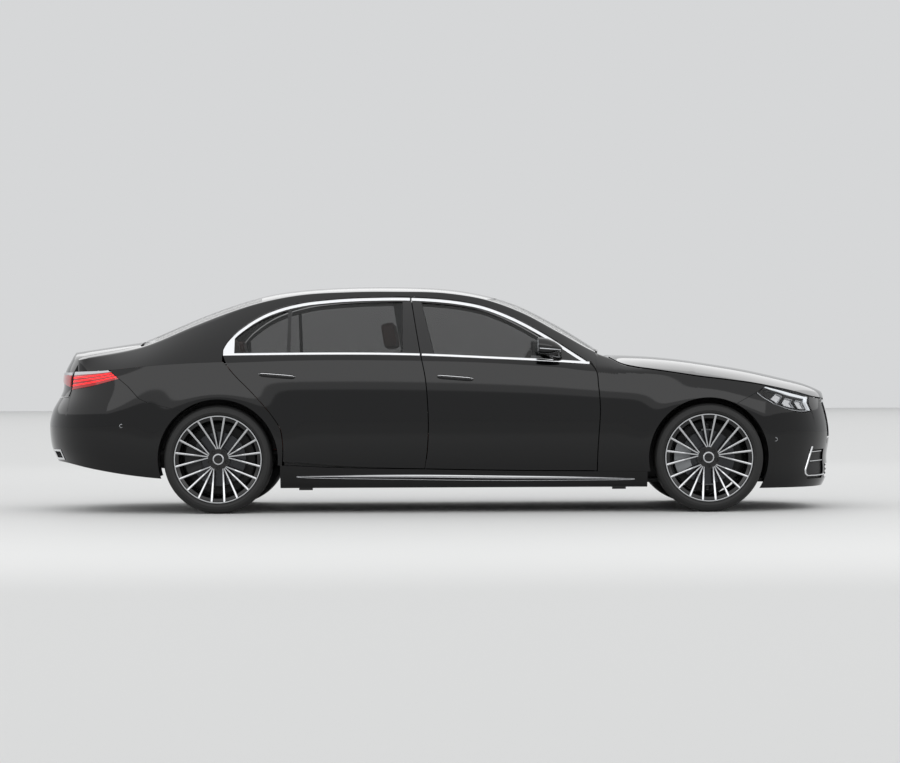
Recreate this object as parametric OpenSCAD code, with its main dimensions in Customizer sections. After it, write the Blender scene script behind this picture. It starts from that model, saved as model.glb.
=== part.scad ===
// Long-wheelbase luxury sedan, built as panels, glass, doors, lids, running gear and cabin.
// The car stands on the road plane z = 0 and faces +X, with its left side at +Y.

/* [Overall size] */
// Distance between the front and rear axles
wheelbase = 3216; // [3100:1:3300]
// Front axle to the foremost point
front_overhang = 885; // [860:1:910]
// Rear axle to the rearmost point
rear_overhang = 1199; // [1170:1:1230]
// Road to the top of the roof
roof_height = 1503; // [1480:1:1530]
// Width over the body sides, without the mirrors
body_width = 1920; // [1900:1:1950]

/* [Wheels] */
// Distance between left and right wheel centres
track = 1656; // [1636:1:1666]
// Outside diameter of the tyres
tyre_diameter = 712; // [704:1:716]
// Widest point of a tyre
tyre_width = 254; // [245:1:260]
// Diameter over the wheel's flange
rim_diameter = 576; // [570:1:580]
// Width between the outer faces of the two flanges
rim_width = 232; // [226:1:236]
// Fans of spokes round the wheel
spoke_fans = 5; // [5:1:6]
// Width of a spoke at the rim
spoke_width = 15; // [10:1:18]
// Gap between the tyre and the wheel arch
arch_gap = 38; // [34:1:46]
// Brake disc diameter
disc_diameter = 354; // [330:1:358]
// Stub axle diameter
stub_diameter = 60; // [50:1:64]
// Radial running clearance of pins and stub axles
running_clearance = 0.06; // [0.03:0.01:0.09]
// How far the steering axis lies inboard of the wheel centre
kingpin_inset = 48; // [42:1:54]
// Steering pin diameter
kingpin_diameter = 20; // [16:1:24]

/* [Panels] */
// Thickness of the fixed outer panels
skin = 8; // [6:0.5:10]
// Open gap round doors, bonnet and boot lid
shut_gap = 6.5; // [6:0.5:8]
// Hairline seam between fixed panels
seam = 0.6; // [0.4:0.1:0.9]
// Thickness of a door below the windows
door_thickness = 128; // [115:1:135]
// Thickness of a door's window frame
frame_thickness = 42; // [36:1:48]
// Height of a door's frame above the glass
frame_height = 30; // [24:1:36]
// Thickness of the glass
glass_thickness = 5; // [4:0.5:6]
// Depth of the side glass behind the frame's face
glass_inset = 8; // [5:0.5:12]
// Thickness of the bonnet and boot lid
lid_thickness = 24; // [20:1:28]
// Thickness of the roof rails and pillars
rail_thickness = 58; // [48:1:64]
// Hinge pin diameter
hinge_pin = 14; // [12:1:16]

/* [Cabin] */
// Width of a front seat
seat_width = 540; // [500:5:560]
// Height of the seat cushions above the floor
seat_height = 330; // [300:5:350]
// Steering wheel diameter
steering_wheel_diameter = 370; // [350:1:390]

/* [Hidden] */

$fn = 48;
paint = [0.03, 0.03, 0.035];
chrome = [0.8, 0.8, 0.82];
dark = [0.08, 0.08, 0.09];
tinted = [0.1, 0.1, 0.1, 0.6];
leather = [0.35, 0.14, 0.09];

// Stations along the car, measured on the car as drawn and carried to the sizes set above
drawn_front_axle = 1765;
drawn_rear_axle = -1451;
drawn_wheelbase = drawn_front_axle - drawn_rear_axle;
drawn_front_overhang = 885;
drawn_rear_overhang = 1199;
drawn_roof = 1503;
drawn_belt = 1000;
drawn_width = 1920;
drawn_wheel_radius = 356;
car_length = front_overhang + wheelbase + rear_overhang;
front_axle = car_length / 2 - front_overhang;
rear_axle = front_axle - wheelbase;
wheel_radius = tyre_diameter / 2;
wheel_y = track / 2;
arch_radius = wheel_radius + arch_gap;
half_width = body_width / 2 - 3;
widen = (body_width - drawn_width) / 2;
lift = wheel_radius - drawn_wheel_radius;

// Drawn station to real station, and back
function sx(x) = x > drawn_front_axle ? front_axle + (x - drawn_front_axle) * front_overhang / drawn_front_overhang
    : x < drawn_rear_axle ? rear_axle + (x - drawn_rear_axle) * rear_overhang / drawn_rear_overhang
    : rear_axle + (x - drawn_rear_axle) * wheelbase / drawn_wheelbase;
function nx(x) = x > front_axle ? drawn_front_axle + (x - front_axle) * drawn_front_overhang / front_overhang
    : x < rear_axle ? drawn_rear_axle + (x - rear_axle) * drawn_rear_overhang / rear_overhang
    : drawn_rear_axle + (x - rear_axle) * drawn_wheelbase / wheelbase;
// Drawn height to real height: the body rides with the wheels and the roof stretches above the belt
function hz(z) = z <= drawn_belt ? z + lift
    : drawn_belt + lift + (z - drawn_belt) * (roof_height - drawn_belt - lift) / (drawn_roof - drawn_belt);

function lerp(a, b, t) = a + (b - a) * t;
function clamp(v, low, high) = max(low, min(high, v));
function smooth(t) = let (c = clamp(t, 0, 1)) c * c * (3 - 2 * c);

// Smooth curve through points sorted by their first value
function chord(p, i) = (p[i + 1][1] - p[i][1]) / (p[i + 1][0] - p[i][0]);
function slope(p, i) = i == 0 ? chord(p, 0) : i == len(p) - 1 ? chord(p, i - 1)
    : let (a = p[i][0] - p[i - 1][0], b = p[i + 1][0] - p[i][0])
        (b * chord(p, i - 1) + a * chord(p, i)) / (a + b);
function span(p, x, i = 0) = i >= len(p) - 2 || x < p[i + 1][0] ? i : span(p, x, i + 1);
function hermite(a, b, ma, mb, h, t) =
    a * (1 + 2 * t) * (1 - t) * (1 - t) + b * t * t * (3 - 2 * t)
    + h * (ma * t * (1 - t) * (1 - t) - mb * t * t * (1 - t));
function curve(p, x) = x <= p[0][0] ? p[0][1] + (x - p[0][0]) * chord(p, 0)
    : x >= p[len(p) - 1][0] ? p[len(p) - 1][1] + (x - p[len(p) - 1][0]) * chord(p, len(p) - 2)
    : let (i = span(p, x), h = p[i + 1][0] - p[i][0])
        hermite(p[i][1], p[i + 1][1], slope(p, i), slope(p, i + 1), h, (x - p[i][0]) / h);

// Character lines of the body, as [station, height] on the car as drawn
roof_line = [[-2030, 1125], [-1850, 1203], [-1660, 1284], [-1470, 1357], [-1300, 1412], [-1150, 1451],
    [-950, 1480], [-750, 1495], [-440, 1503], [-135, 1498], [70, 1484], [245, 1457], [395, 1421],
    [550, 1367], [700, 1293], [855, 1207], [1005, 1112], [1165, 1008]];
deck_line = [[-2490, 1066], [-2230, 1104], [-1990, 1139]];
rail_line = [[-2460, 1002], [-2335, 1023], [-1954, 1098], [-1610, 1238], [-1425, 1310], [-1240, 1372],
    [-933, 1436], [-600, 1456], [-300, 1458], [70, 1444], [315, 1400], [560, 1308], [805, 1174], [1060, 1038],
    [1113, 1019], [1201, 974], [1288, 953], [1397, 937], [1550, 914], [1700, 891], [1900, 866], [2063, 843],
    [2193, 818], [2350, 784], [2490, 749], [2610, 734]];
rail_half_width = [[-2460, 640], [-2335, 668], [-1954, 700], [-1610, 668], [-1240, 628], [-933, 612], [-300, 606],
    [70, 612], [315, 630], [560, 662], [805, 705], [1060, 762], [1113, 778], [1201, 838], [1288, 868],
    [1397, 888], [1550, 902], [1700, 906]];
shoulder_line = [[-2500, 936], [-2330, 939], [-2164, 945], [-1954, 966], [-1766, 981], [-1421, 995], [-780, 1006],
    [-120, 999], [431, 981], [734, 964], [1025, 940], [1357, 916], [1550, 902], [1700, 889]];
belt_line = [[-1428, 1040], [-782, 1043], [-120, 1034], [432, 1008], [674, 996], [985, 976]];
window_line = [[-1428, 1050], [-1408, 1095], [-1353, 1168], [-1274, 1235], [-1177, 1296], [-1056, 1346],
    [-922, 1380], [-718, 1405], [-400, 1419], [-190, 1418], [0, 1407], [141, 1390], [287, 1360], [480, 1286],
    [675, 1182], [918, 1024], [985, 980]];
door_bottom_line = [[-1060, 322], [-715, 306], [-90, 292], [431, 281], [1040, 275], [1380, 272]];
bonnet_centre_line = [[1150, 1036], [1416, 1024], [1643, 1001], [1870, 967], [2097, 927], [2325, 875], [2495, 829],
    [2610, 780]];
// Shut lines, as [height, station]
front_shut_line = [[260, 1033], [385, 1036], [506, 1044], [675, 1054], [832, 1043], [935, 1026], [985, 988],
    [1040, 985]];
middle_shut_line = [[260, -99], [428, -78], [561, -72], [742, -78], [876, -90], [1033, -120], [1410, -188]];
rear_shut_line = [[260, -1031], [480, -1028], [551, -1040], [629, -1087], [720, -1160], [817, -1250], [895, -1329],
    [967, -1389], [1045, -1424]];
// Nose and tail on the centre line, as [height, station]
nose_line = [[140, 2592], [230, 2632], [330, 2630], [470, 2648], [590, 2642], [690, 2622], [775, 2598], [830, 2575]];
tail_line = [[190, -2560], [328, -2592], [420, -2634], [500, -2648], [610, -2648], [660, -2636], [815, -2558],
    [910, -2551], [1050, -2484]];
// Rear edge of the front bumper and front edge of the rear bumper above the arches, as [height, station]
front_seam_line = [[778, 2078], [828, 2152]];
rear_seam_line = [[705, -1814], [729, -1911], [758, -1972], [837, -2044], [886, -2104], [932, -2164], [960, -2200]];

nose_start = sx(1700);
tail_start = sx(-1450);
plan_power = 2.4;
nose_power = 3;
tail_power = 4;
waist_z = hz(600);
sill_bottom = hz(165);
shoulder_inset = 42;
sill_inset = 60;
crown_power = 2.4;
rail_bulge = 36;
flare_height = 11;
flare_reach = 110;

// Straight pieces through points, for the seams that two panels share
function kinked(p, x) = let (i = span(p, x)) p[i][1] + (x - p[i][0]) * chord(p, i);
function line(p, x) = hz(curve(p, nx(x)));
function edge(p, z) = sx(curve(p, z - lift));
function shoulder(x) = nx(x) >= 1700 ? rail(x) : min(line(shoulder_line, x), rail(x));
function rail(x) = line(rail_line, x);
function belt(x) = line(belt_line, x);
function nose(z) = edge(nose_line, z);
function tail(z) = edge(tail_line, z);

// Taper in plan towards the nose and the tail
function nose_share(x, z) = clamp((x - nose_start) / (nose(z) - nose_start), 0, 1);
function tail_share(x, z) = clamp((tail_start - x) / (tail_start - tail(z)), 0, 1);
function taper(x, z) = x > nose_start ? pow(1 - pow(nose_share(x, z), nose_power), 1 / plan_power)
    : x < tail_start ? pow(1 - pow(tail_share(x, z), tail_power), 1 / plan_power) : 1;
// Side of the body below the shoulder: barrel in plan, tucked in at the sill and the shoulder, flared at the arches
function flare(x, z, axle) = let (r = norm([x - axle, z - wheel_radius]))
    flare_height * exp(-pow((r - arch_radius) / flare_reach, 2));
function inset(x, z) = z > waist_z ? shoulder_inset * pow((z - waist_z) / (shoulder(x) - waist_z), 2.2)
    : sill_inset * pow((waist_z - z) / (waist_z - sill_bottom), 2.4);
function side(x, z, t) = t * (half_width - 8 * pow((x - 120) / 1600, 2) - inset(x, z)
    + flare(x, z, front_axle) + flare(x, z, rear_axle));
function lower_side(x, z) = side(x, z, taper(x, z));
function rail_y(x) = min(curve(rail_half_width, nx(x)) + widen, lower_side(x, shoulder(x)) - 14);
// Whole side, from the sill over the shoulder to the roof rail
function body_y(x, z) = let (s = shoulder(x), r = rail(x))
    z <= s || r - s < 4 ? lower_side(x, min(z, s))
    : let (t = (z - s) / (r - s), b = rail_bulge * clamp((r - s) / 450, 0, 1))
        lerp(lower_side(x, s), rail_y(x), t) + 4 * b * t * (1 - t);
function on_side(p, depth = 0) = [p[0], body_y(p[0], p[1]) - depth, p[1]];
// Roof, screens and boot between the rails
function crown(x, y, centre) = let (c = hz(centre)) c - (c - rail(x)) * pow(min(1, abs(y) / rail_y(x)), crown_power);
function roof_z(x, y) = crown(x, y, curve(roof_line, nx(x)));
function deck_z(x, y) = crown(x, y, curve(deck_line, nx(x)));
// Nose and tail skins: f runs from the start of the taper to the centre line
// and share says how much of the depth runs along the car
function nose_point(f, z, depth = 0, share = 1) = let (a = 90 * clamp(f, 0, 1),
        x = nose_start + (nose(z) - depth * share - nose_start) * pow(sin(a), 2 / nose_power),
        t = pow(cos(a), 2 / plan_power))
    [x, side(min(x, nose(z)), z, t) - depth * lerp(1, t, share), z];
function tail_point(f, z, depth = 0, share = 1) = let (a = 90 * clamp(f, 0, 1),
        x = tail_start - (tail_start - tail(z) - depth * share) * pow(sin(a), 2 / tail_power),
        t = pow(cos(a), 2 / plan_power))
    [x, side(x, z, t) - depth * lerp(1, t, share), z];
function nose_f(x, z) = asin(pow(nose_share(x, z), nose_power / 2)) / 90;
function tail_f(x, z) = asin(pow(tail_share(x, z), tail_power / 2)) / 90;
// Station of an arch's edge at a height, on the side given by the sign
function arch_x(axle, z, s) = axle + s * sqrt(max(0, pow(arch_radius, 2) - pow(z - wheel_radius, 2)));
function flip_y(p) = [p[0], -p[1], p[2]];

// Closed panel between an outer and an inner grid of points, open where keep says no
module panel(outer, inner, keep = function(i, j) true) {
    n = len(outer);
    m = len(outer[0]);
    points = concat([for (row = outer) each row], [for (row = inner) each row]);
    has = function(i, j) i >= 0 && j >= 0 && i < n - 1 && j < m - 1 && keep(i, j);
    top = function(i, j) i * m + j;
    low = function(i, j) n * m + i * m + j;
    wall = function(a, b, c, d) [[a, b, c], [a, c, d]];
    faces = [for (i = [0 : n - 2]) for (j = [0 : m - 2]) if (has(i, j)) each concat(
        wall(top(i, j), top(i + 1, j), top(i + 1, j + 1), top(i, j + 1)),
        wall(low(i, j), low(i, j + 1), low(i + 1, j + 1), low(i + 1, j)),
        has(i - 1, j) ? [] : wall(top(i, j), top(i, j + 1), low(i, j + 1), low(i, j)),
        has(i + 1, j) ? [] : wall(top(i + 1, j + 1), top(i + 1, j), low(i + 1, j), low(i + 1, j + 1)),
        has(i, j - 1) ? [] : wall(top(i + 1, j), top(i, j), low(i, j), low(i + 1, j)),
        has(i, j + 1) ? [] : wall(top(i, j + 1), top(i + 1, j + 1), low(i + 1, j + 1), low(i, j + 1)))];
    volume = [for (f = faces) cross(points[f[0]], points[f[1]]) * points[f[2]]] * [for (f = faces) 1];
    polyhedron(points, volume < 0 ? faces : [for (f = faces) [f[2], f[1], f[0]]]);
}
// Side panel from a grid of [station, height]
module side_panel(grid, depth = skin, keep = function(i, j) true)
    panel([for (c = grid) [for (p = c) on_side(p)]], [for (c = grid) [for (p = c) on_side(p, depth)]], keep);
// Both sides of the car
module pair() {
    children();
    mirror([0, 1, 0]) children();
}

// Fixed side panels
bumper_join = 63;
rear_bumper_join = 126;
fender_foot = sx(1033);
rail_front = 1031;
bonnet_drop = 5;
front_tip = hz(778);
front_join = arch_point(front_axle, bumper_join);
rear_join = arch_point(rear_axle, rear_bumper_join);
seam_rows = [rear_join[1], hz(705), hz(729), hz(758), hz(837), hz(886)];
function nose_edge_x(z) = z < front_join[1] ? arch_x(front_axle, z, 1)
    : z < front_tip ? lerp(front_join[0], sx(2078), (z - front_join[1]) / (front_tip - front_join[1]))
    : sx(kinked(front_seam_line, z - lift));
function tail_edge_x(z) = z < rear_join[1] ? arch_x(rear_axle, z, -1)
    : z < seam_rows[1] ? lerp(rear_join[0], sx(-1814), (z - rear_join[1]) / (seam_rows[1] - rear_join[1]))
    : sx(kinked(rear_seam_line, z - lift));

function arch_point(axle, a) = [axle + arch_radius * cos(a), wheel_radius + arch_radius * sin(a)];
function sill_top(x) = line(door_bottom_line, x) - shut_gap;
function panel_foot(x) = sill_top(x) + seam;
function shut_x(p, z, gap) = edge(p, z) + gap;

// Front fender: from the arch and the bumper seam out to the bonnet, the screen pillar and the door
module front_fender() {
    foot_angle = 180 + asin((wheel_radius - panel_foot(front_axle - arch_radius)) / arch_radius);
    bonnet_edge = function(x) [x, rail(x) - bonnet_drop];
    door_edge = function(z) [shut_x(front_shut_line, z, shut_gap / 2), z];
    inner = concat(
        [for (t = [1, 0.5]) let (z = lerp(front_join[1], front_tip, t)) [nose_edge_x(z) - seam, z]],
        [for (t = [0 : 1 / 16 : 1]) arch_point(front_axle, lerp(bumper_join + 0.1, foot_angle, t))]);
    outer = concat(
        [let (x = nose_edge_x(hz(824))) bonnet_edge(x - 1), bonnet_edge(sx(2040))],
        [for (x = [1945, 1850, 1750, 1640, 1520, 1400, 1300, 1210, 1120]) bonnet_edge(sx(x))],
        [bonnet_edge(sx(rail_front) + seam), [sx(rail_front) + seam, hz(934)]],
        [for (z = [830, 690, 560, 430, 330]) door_edge(hz(z))],
        [[shut_x(front_shut_line, hz(275), shut_gap / 2), panel_foot(fender_foot)]]);
    rows = [0, 0.1, 0.3, 0.55, 0.8, 1];
    color(paint) side_panel([for (k = [0 : len(inner) - 1]) [for (t = rows) lerp(inner[k], outer[k], t)]]);
}
module front_fenders() pair() front_fender();

// Rear quarter panel: from the arch and the bumper seam out to the door and the shoulder
module quarter_panel() {
    foot_angle = asin((panel_foot(rear_axle + arch_radius) - wheel_radius) / arch_radius);
    door_edge = function(z) [shut_x(rear_shut_line, z, -shut_gap / 2), z];
    shoulder_edge = function(x) [x, shoulder(x) - seam / 2];
    seam_edge = function(z) [tail_edge_x(z) + seam, z];
    inner = concat(
        [for (t = [0 : 1 / 16 : 1]) arch_point(rear_axle, lerp(foot_angle, rear_bumper_join - 0.1, t))],
        [for (k = [1 : 5]) seam_edge(seam_rows[k])], [seam_edge(hz(932))]);
    outer = concat(
        [[shut_x(rear_shut_line, hz(330), -shut_gap / 2), panel_foot(sx(-1040))]],
        [for (z = [400, 465, 510, 550, 595, 645, 710, 785, 860, 930, 985]) door_edge(hz(z))],
        [for (x = [-1455, -1520, -1590, -1660, -1740, -1810, -1880, -1950, -2020, -2090, -2160])
            shoulder_edge(sx(x))]);
    rows = [0, 0.12, 0.35, 0.6, 0.82, 1];
    color(paint) side_panel([for (k = [0 : len(inner) - 1]) [for (t = rows) lerp(inner[k], outer[k], t)]]);
}
module quarter_panels() pair() quarter_panel();

// Roof rail from the screen pillar over the doors and down the rear pillar to the tail
rail_cap = 46;
corner_x = 997;
corner_gap = 11;
function rail_foot(x) = nx(x) < -1424 ? shoulder(x) + seam / 2
    : nx(x) > corner_x ? lerp(line(window_line, sx(985)) + corner_gap, hz(936), (nx(x) - corner_x) / (rail_front - corner_x))
    : nx(x) > 985 ? line(window_line, sx(985)) + corner_gap
    : line(window_line, x) + shut_gap;
// Beside the boot lid the rail's top runs in to the lid's edge
function thin(x) = nx(x) < -2350 ? 0.7 : 1;
function cap(x) = nx(x) < -1980 ? rail_y(x) - lid_half - widen - shut_gap : rail_cap;
module roof_rail() {
    stations = [rail_front, 1013, corner_x, 984, 920, 800, 680, 560, 440, 320, 200, 70, -80, -240, -420, -600, -780, -933, -1060,
        -1180, -1275, -1350, -1400, -1423.5, -1424.5, -1520, -1620, -1740, -1860, -1966, -1986, -2100, -2220, -2320, -2400];
    side_rows = [0, 0.3, 0.6, 0.85];
    ring = function(x) let (foot = rail_foot(x), top = rail(x), y = rail_y(x)) concat(
        [for (t = side_rows) on_side([x, lerp(foot, top, t)])],
        [[x, y, top], [x, y - cap(x) / 2, roof_edge_z(x, y - cap(x) / 2)],
            [x, y - cap(x), roof_edge_z(x, y - cap(x))]]);
    back = function(x) let (foot = rail_foot(x), top = rail(x), y = rail_y(x)) concat(
        [for (t = side_rows) let (p = on_side([x, lerp(foot, top, t)]))
            [x, p[1] - rail_thickness * (1 - t * 0.35) * thin(x), p[2] - t * 14]],
        [[x, y - min(rail_thickness * 0.6, cap(x) * 0.4), top - 30],
            [x, y - cap(x) * 0.7, roof_edge_z(x, y - cap(x) / 2) - 32],
            [x, y - cap(x), roof_edge_z(x, y - cap(x)) - 32]]);
    color(paint) panel([for (s = stations) ring(sx(s))], [for (s = stations) back(sx(s))]);
}
function roof_edge_z(x, y) = nx(x) < -2000 ? deck_z(x, y) : nx(x) < -1960 ?
    lerp(deck_z(x, y), roof_z(x, y), (nx(x) + 2000) / 40) : roof_z(x, y);
module roof_rails() pair() roof_rail();

// Panels between the rails, from an x of each cross line and a half-width share
cross_shares = [-1, -0.85, -0.6, -0.3, 0, 0.3, 0.6, 0.85, 1];
function between_rails(x, share) = [x, share * (rail_y(x) - rail_cap - seam), 0];
module between(rows, bow_front, bow_rear, thickness, tint) {
    first = rows[0];
    last = rows[len(rows) - 1];
    at = function(r, s) let (t = (r - first) / (last - first),
        x = sx(r) + lerp(bow_front, bow_rear, t) * (1 - s * s), p = between_rails(x, s)) [x, p[1], roof_z(x, p[1])];
    grid = [for (r = rows) [for (s = cross_shares) at(r, s)]];
    color(tint) panel(grid, [for (row = grid) [for (p = row) p - [0, 0, thickness]]]);
}
screen_top = 320;
screen_foot = 1010;
screen_bow = 72;
window_top = -1180;
window_foot = -1962;
window_bow = -24;
module windscreen() between([screen_foot, 985, 920, 800, 680, 560, 440, screen_top], screen_bow, screen_bow,
    glass_thickness, tinted);
module roof_panel() between([screen_top - seam, 200, 70, -80, -240, -420, -600, -780, -933, -1060, window_top + seam],
    screen_bow, window_bow, skin, paint);
module rear_window() between([window_top, -1275, -1350, -1424, -1520, -1620, -1740, -1860, window_foot], window_bow, 0,
    glass_thickness, tinted);

// Bonnet
bonnet_rear = 1118;
bonnet_front = 2602;
bonnet_power = 2.6;
bonnet_lip = 2.5;
bonnet_tuck = 28;
function bonnet_half(x) = body_y(x, rail(x)) - 1 - bonnet_tuck * smooth((sx(1240) - x) / 68);
function bonnet_z(x, share) = let (c = line(bonnet_centre_line, x), e = rail(x) + shut_gap - bonnet_drop + 2.5)
    c - (c - e) * pow(abs(share), bonnet_power);
module bonnet() {
    shares = [-1, -0.972, -0.955, -0.86, -0.68, -0.46, -0.22, 0, 0.22, 0.46, 0.68, 0.86, 0.955, 0.972, 1];
    rows = [0, 0.02, 0.045, 0.09, 0.15, 0.23, 0.33, 0.45, 0.57, 0.69, 0.78, 0.84, 0.89, 0.94, 0.97, 1];
    at = function(r, s) let (x = lerp(sx(bonnet_rear) + 26 * (1 - s * s), sx(bonnet_front), r))
        [x, s * bonnet_half(x), bonnet_z(x, s)];
    grid = [for (r = rows) [for (s = shares) at(r, s)]];
    color(paint) union() {
        panel(grid, [for (r = rows) [for (s = shares) let (p = at(r, s))
            [p[0], p[1], p[2] - (abs(s) > 0.96 || r > 0.93 ? bonnet_lip : lid_thickness)]]]);
        pair() bonnet_lug();
    }
}
bonnet_axis = [sx(1168), hz(968)];
bonnet_hinge_y = 640 + widen;
bonnet_lug_width = 26;
module bonnet_lug() translate([0, bonnet_hinge_y, 0]) difference() {
    union() {
        translate([bonnet_axis[0], 0, bonnet_axis[1]]) rotate([90, 0, 0])
            cylinder(d = hinge_pin + 14, h = bonnet_lug_width, center = true);
        translate([bonnet_axis[0] - 10, -bonnet_lug_width / 2, bonnet_axis[1]])
            cube([20, bonnet_lug_width, bonnet_z(bonnet_axis[0], bonnet_hinge_y / bonnet_half(bonnet_axis[0]))
                - bonnet_axis[1] - lid_thickness / 2]);
    }
    translate([bonnet_axis[0], 0, bonnet_axis[1]]) rotate([90, 0, 0])
        cylinder(d = hinge_pin + 2 * running_clearance, h = bonnet_lug_width + 2, center = true);
}

// Boot lid: top, lip and rear face in one panel
lid_front = -1992;
lid_half = 580;
lid_foot = 768;
lid_columns = [-1, -0.86, -0.6, -0.3, 0, 0.3, 0.6, 0.86, 1];
function lid_y() = lid_half + widen;
function tail_x(y, z) = let (w = side(sx(-2300), z, 1))
    tail_start - (tail_start - tail(z)) * pow(1 - pow(min(1, abs(y) / w), plan_power), 1 / tail_power);
module boot_lid() {
    front_y = lid_y();
    rear_y = lid_y() - 2;
    lip_z = function(y) deck_z(tail_x(y, hz(1040)), y) - 4;
    top = [for (t = [0, 0.2, 0.45, 0.7, 0.9, 1]) [for (c = lid_columns) let (y = c * lerp(front_y, rear_y, t),
        x = lerp(sx(lid_front), tail_x(c * rear_y, hz(1040)) + 14, t)) [x, y, deck_z(x, y)]]];
    back = [for (t = [0, 0.12, 0.4, 0.7, 1]) [for (c = lid_columns) let (y = c * rear_y,
        z = lerp(lip_z(y) - 10, hz(lid_foot), t)) [tail_x(y, z), y, z]]];
    grid = concat(top, back);
    shift = function(i) i < 5 ? [0, 0, -lid_thickness] : i == 5 ? [lid_thickness * 0.8, 0, -lid_thickness]
        : [lid_thickness, 0, i == 6 ? -6 : 0];
    color(paint) union() {
        panel(grid, [for (i = [0 : len(grid) - 1]) [for (p = grid[i]) p + shift(i)]]);
        pair() lid_lug();
    }
}
lid_axis = [sx(lid_front) + 8, hz(1102)];
lid_hinge_y = 430 + widen;
lid_lug_width = 24;
lid_pin = 10;
lug_rise = deck_z(lid_axis[0] - 20, lid_hinge_y) - lid_thickness / 2 - lid_axis[1];
module lid_lug() translate([lid_axis[0], lid_hinge_y, lid_axis[1]]) difference() {
    union() {
        rotate([90, 0, 0]) cylinder(d = lid_pin + 8, h = lid_lug_width, center = true);
        translate([-30, -lid_lug_width / 2, -6]) cube([30, lid_lug_width, 6 + lug_rise]);
    }
    rotate([90, 0, 0]) cylinder(d = lid_pin + 2 * running_clearance, h = lid_lug_width + 2, center = true);
}

// Doors: columns of [station at the belt, lean of the window post]; the first ones stay parallel to the front edge
front_columns = [[991, 0], [955, 0], [897, 0], [893, 0], [803, 0], [690, 0], [570, 0], [450, 0], [330, -8], [200, -30],
    [80, -60], [-29, -97], [-88, -76], [-92, -74], [-117, -67]];
rear_columns = [[-123, -67], [-172, -34], [-222, -8], [-226, -6], [-238, -4], [-380, 0], [-530, 0], [-680, 0],
    [-830, 0], [-975, 0], [-998, 0], [-1100, 0], [-1200, 0], [-1290, 0], [-1350, 0], [-1396, 0], [-1421, 0]];
flange_columns = 3;
door_rows = [0, 0.16, 0.25, 0.33, 0.42, 0.52, 0.64, 0.78, 0.92, 1];
belt_strip = 12;
function window_rows(x) = let (b = belt(x), top = max(line(window_line, x), b + 7), h = top - b,
        low = b + min(belt_strip, h * 0.25), high = top - min(frame_height, h * 0.4))
    [low, lerp(low, high, 0.5), high, top];
// Grid of [station, height] for one door, column by column
function door_grid(columns, front_line, front_gap, rear_line, rear_gap) =
    let (n = len(columns) - 1, x0 = columns[0][0], xk = columns[flange_columns][0], xn = columns[n][0])
    [for (i = [0 : n]) let (xi = columns[i][0], xb = sx(xi), b = belt(xb),
            foot = line(door_bottom_line, xb),
            at = function(z) i <= flange_columns ? shut_x(front_line, z, front_gap) - (x0 - xi)
                : lerp(shut_x(front_line, z, front_gap) - (x0 - xk), shut_x(rear_line, z, rear_gap),
                    (xk - xi) / (xk - xn)))
        concat(
            [for (t = door_rows) let (z = lerp(foot, b, t)) [t == 1 ? lerp(at(z), xb, 0.5) : at(z), z]],
            let (up = function(v) xb + columns[i][1] * v) [for (v = [0 : 3])
                let (x = up([0.06, 0.5, 0.92, 1][v])) [x, window_rows(x)[v]]])];
function door_depth(i, j, front_flange, rear_flange) = j > len(door_rows) - 1 ? frame_thickness
    : i <= front_flange || i >= rear_flange ? skin : door_thickness;
module door(grid, front_flange, rear_flange, holes) {
    window_row = len(door_rows);
    panel([for (c = grid) [for (p = c) on_side(p)]],
        [for (i = [0 : len(grid) - 1]) [for (j = [0 : len(grid[i]) - 1])
            on_side(grid[i][j], door_depth(i, j, front_flange, rear_flange))]],
        function(i, j) !(j >= window_row && j < window_row + 2
            && len([for (h = holes) if (i >= h[0] && i < h[1]) h]) > 0));
}
front_grid = door_grid(front_columns, front_shut_line, -shut_gap / 2, middle_shut_line, shut_gap / 2);
rear_grid = door_grid(rear_columns, middle_shut_line, -shut_gap / 2, rear_shut_line, shut_gap / 2);
front_holes = [[4, 11]];
rear_holes = [[4, 9], [10, 14]];
front_flange_end = 2;
rear_flange_start = 13;

// Door hinges: lugs on the door turn on pins that the pillars hold
front_hinge_x = sx(985);
rear_hinge_x = sx(-140);
hinge_y = half_width - 26;
hinge_heights = [hz(450), hz(715)];
hinge_lug = 30;
hinge_plate = 12;
module hinge_lugs(x) for (z = hinge_heights) difference() {
    union() {
        translate([x, hinge_y, z]) cylinder(d = hinge_pin + 12, h = hinge_lug);
        translate([x - 44, hinge_y - 14, z]) cube([44, 20, hinge_lug]);
    }
    translate([x, hinge_y, z - 1]) cylinder(d = hinge_pin + 2 * running_clearance, h = hinge_lug + 2);
}
module hinge_pins(x, from_y) for (z = hinge_heights) {
    translate([x, hinge_y, z - hinge_plate]) cylinder(d = hinge_pin, h = hinge_plate + hinge_lug - 2);
    translate([x - 14, from_y, z - hinge_plate - 1]) cube([14 + hinge_pin / 2 - 1, hinge_y - from_y, hinge_plate]);
}

// Flush pull handle in a shallow dish, one solid proud of the skin
module handle(x, z) translate([x, body_y(x, z), z]) hull() for (s = [-1, 1])
    translate([s * 98, -6, -s * 9]) rotate([-90, 0, 0]) cylinder(d = 30, h = 12 + 2, $fn = 24);
module front_door() color(paint) union() {
    door(front_grid, front_flange_end, rear_flange_start, front_holes);
    hinge_lugs(front_hinge_x);
    handle(sx(105), hz(884));
}
module rear_door() color(paint) union() {
    door(rear_grid, 2, len(rear_columns), rear_holes);
    hinge_lugs(rear_hinge_x);
    handle(sx(-1062), hz(902));
}
module front_door_left() front_door();
module front_door_right() mirror([0, 1, 0]) front_door();
module rear_door_left() rear_door();
module rear_door_right() mirror([0, 1, 0]) rear_door();

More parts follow.
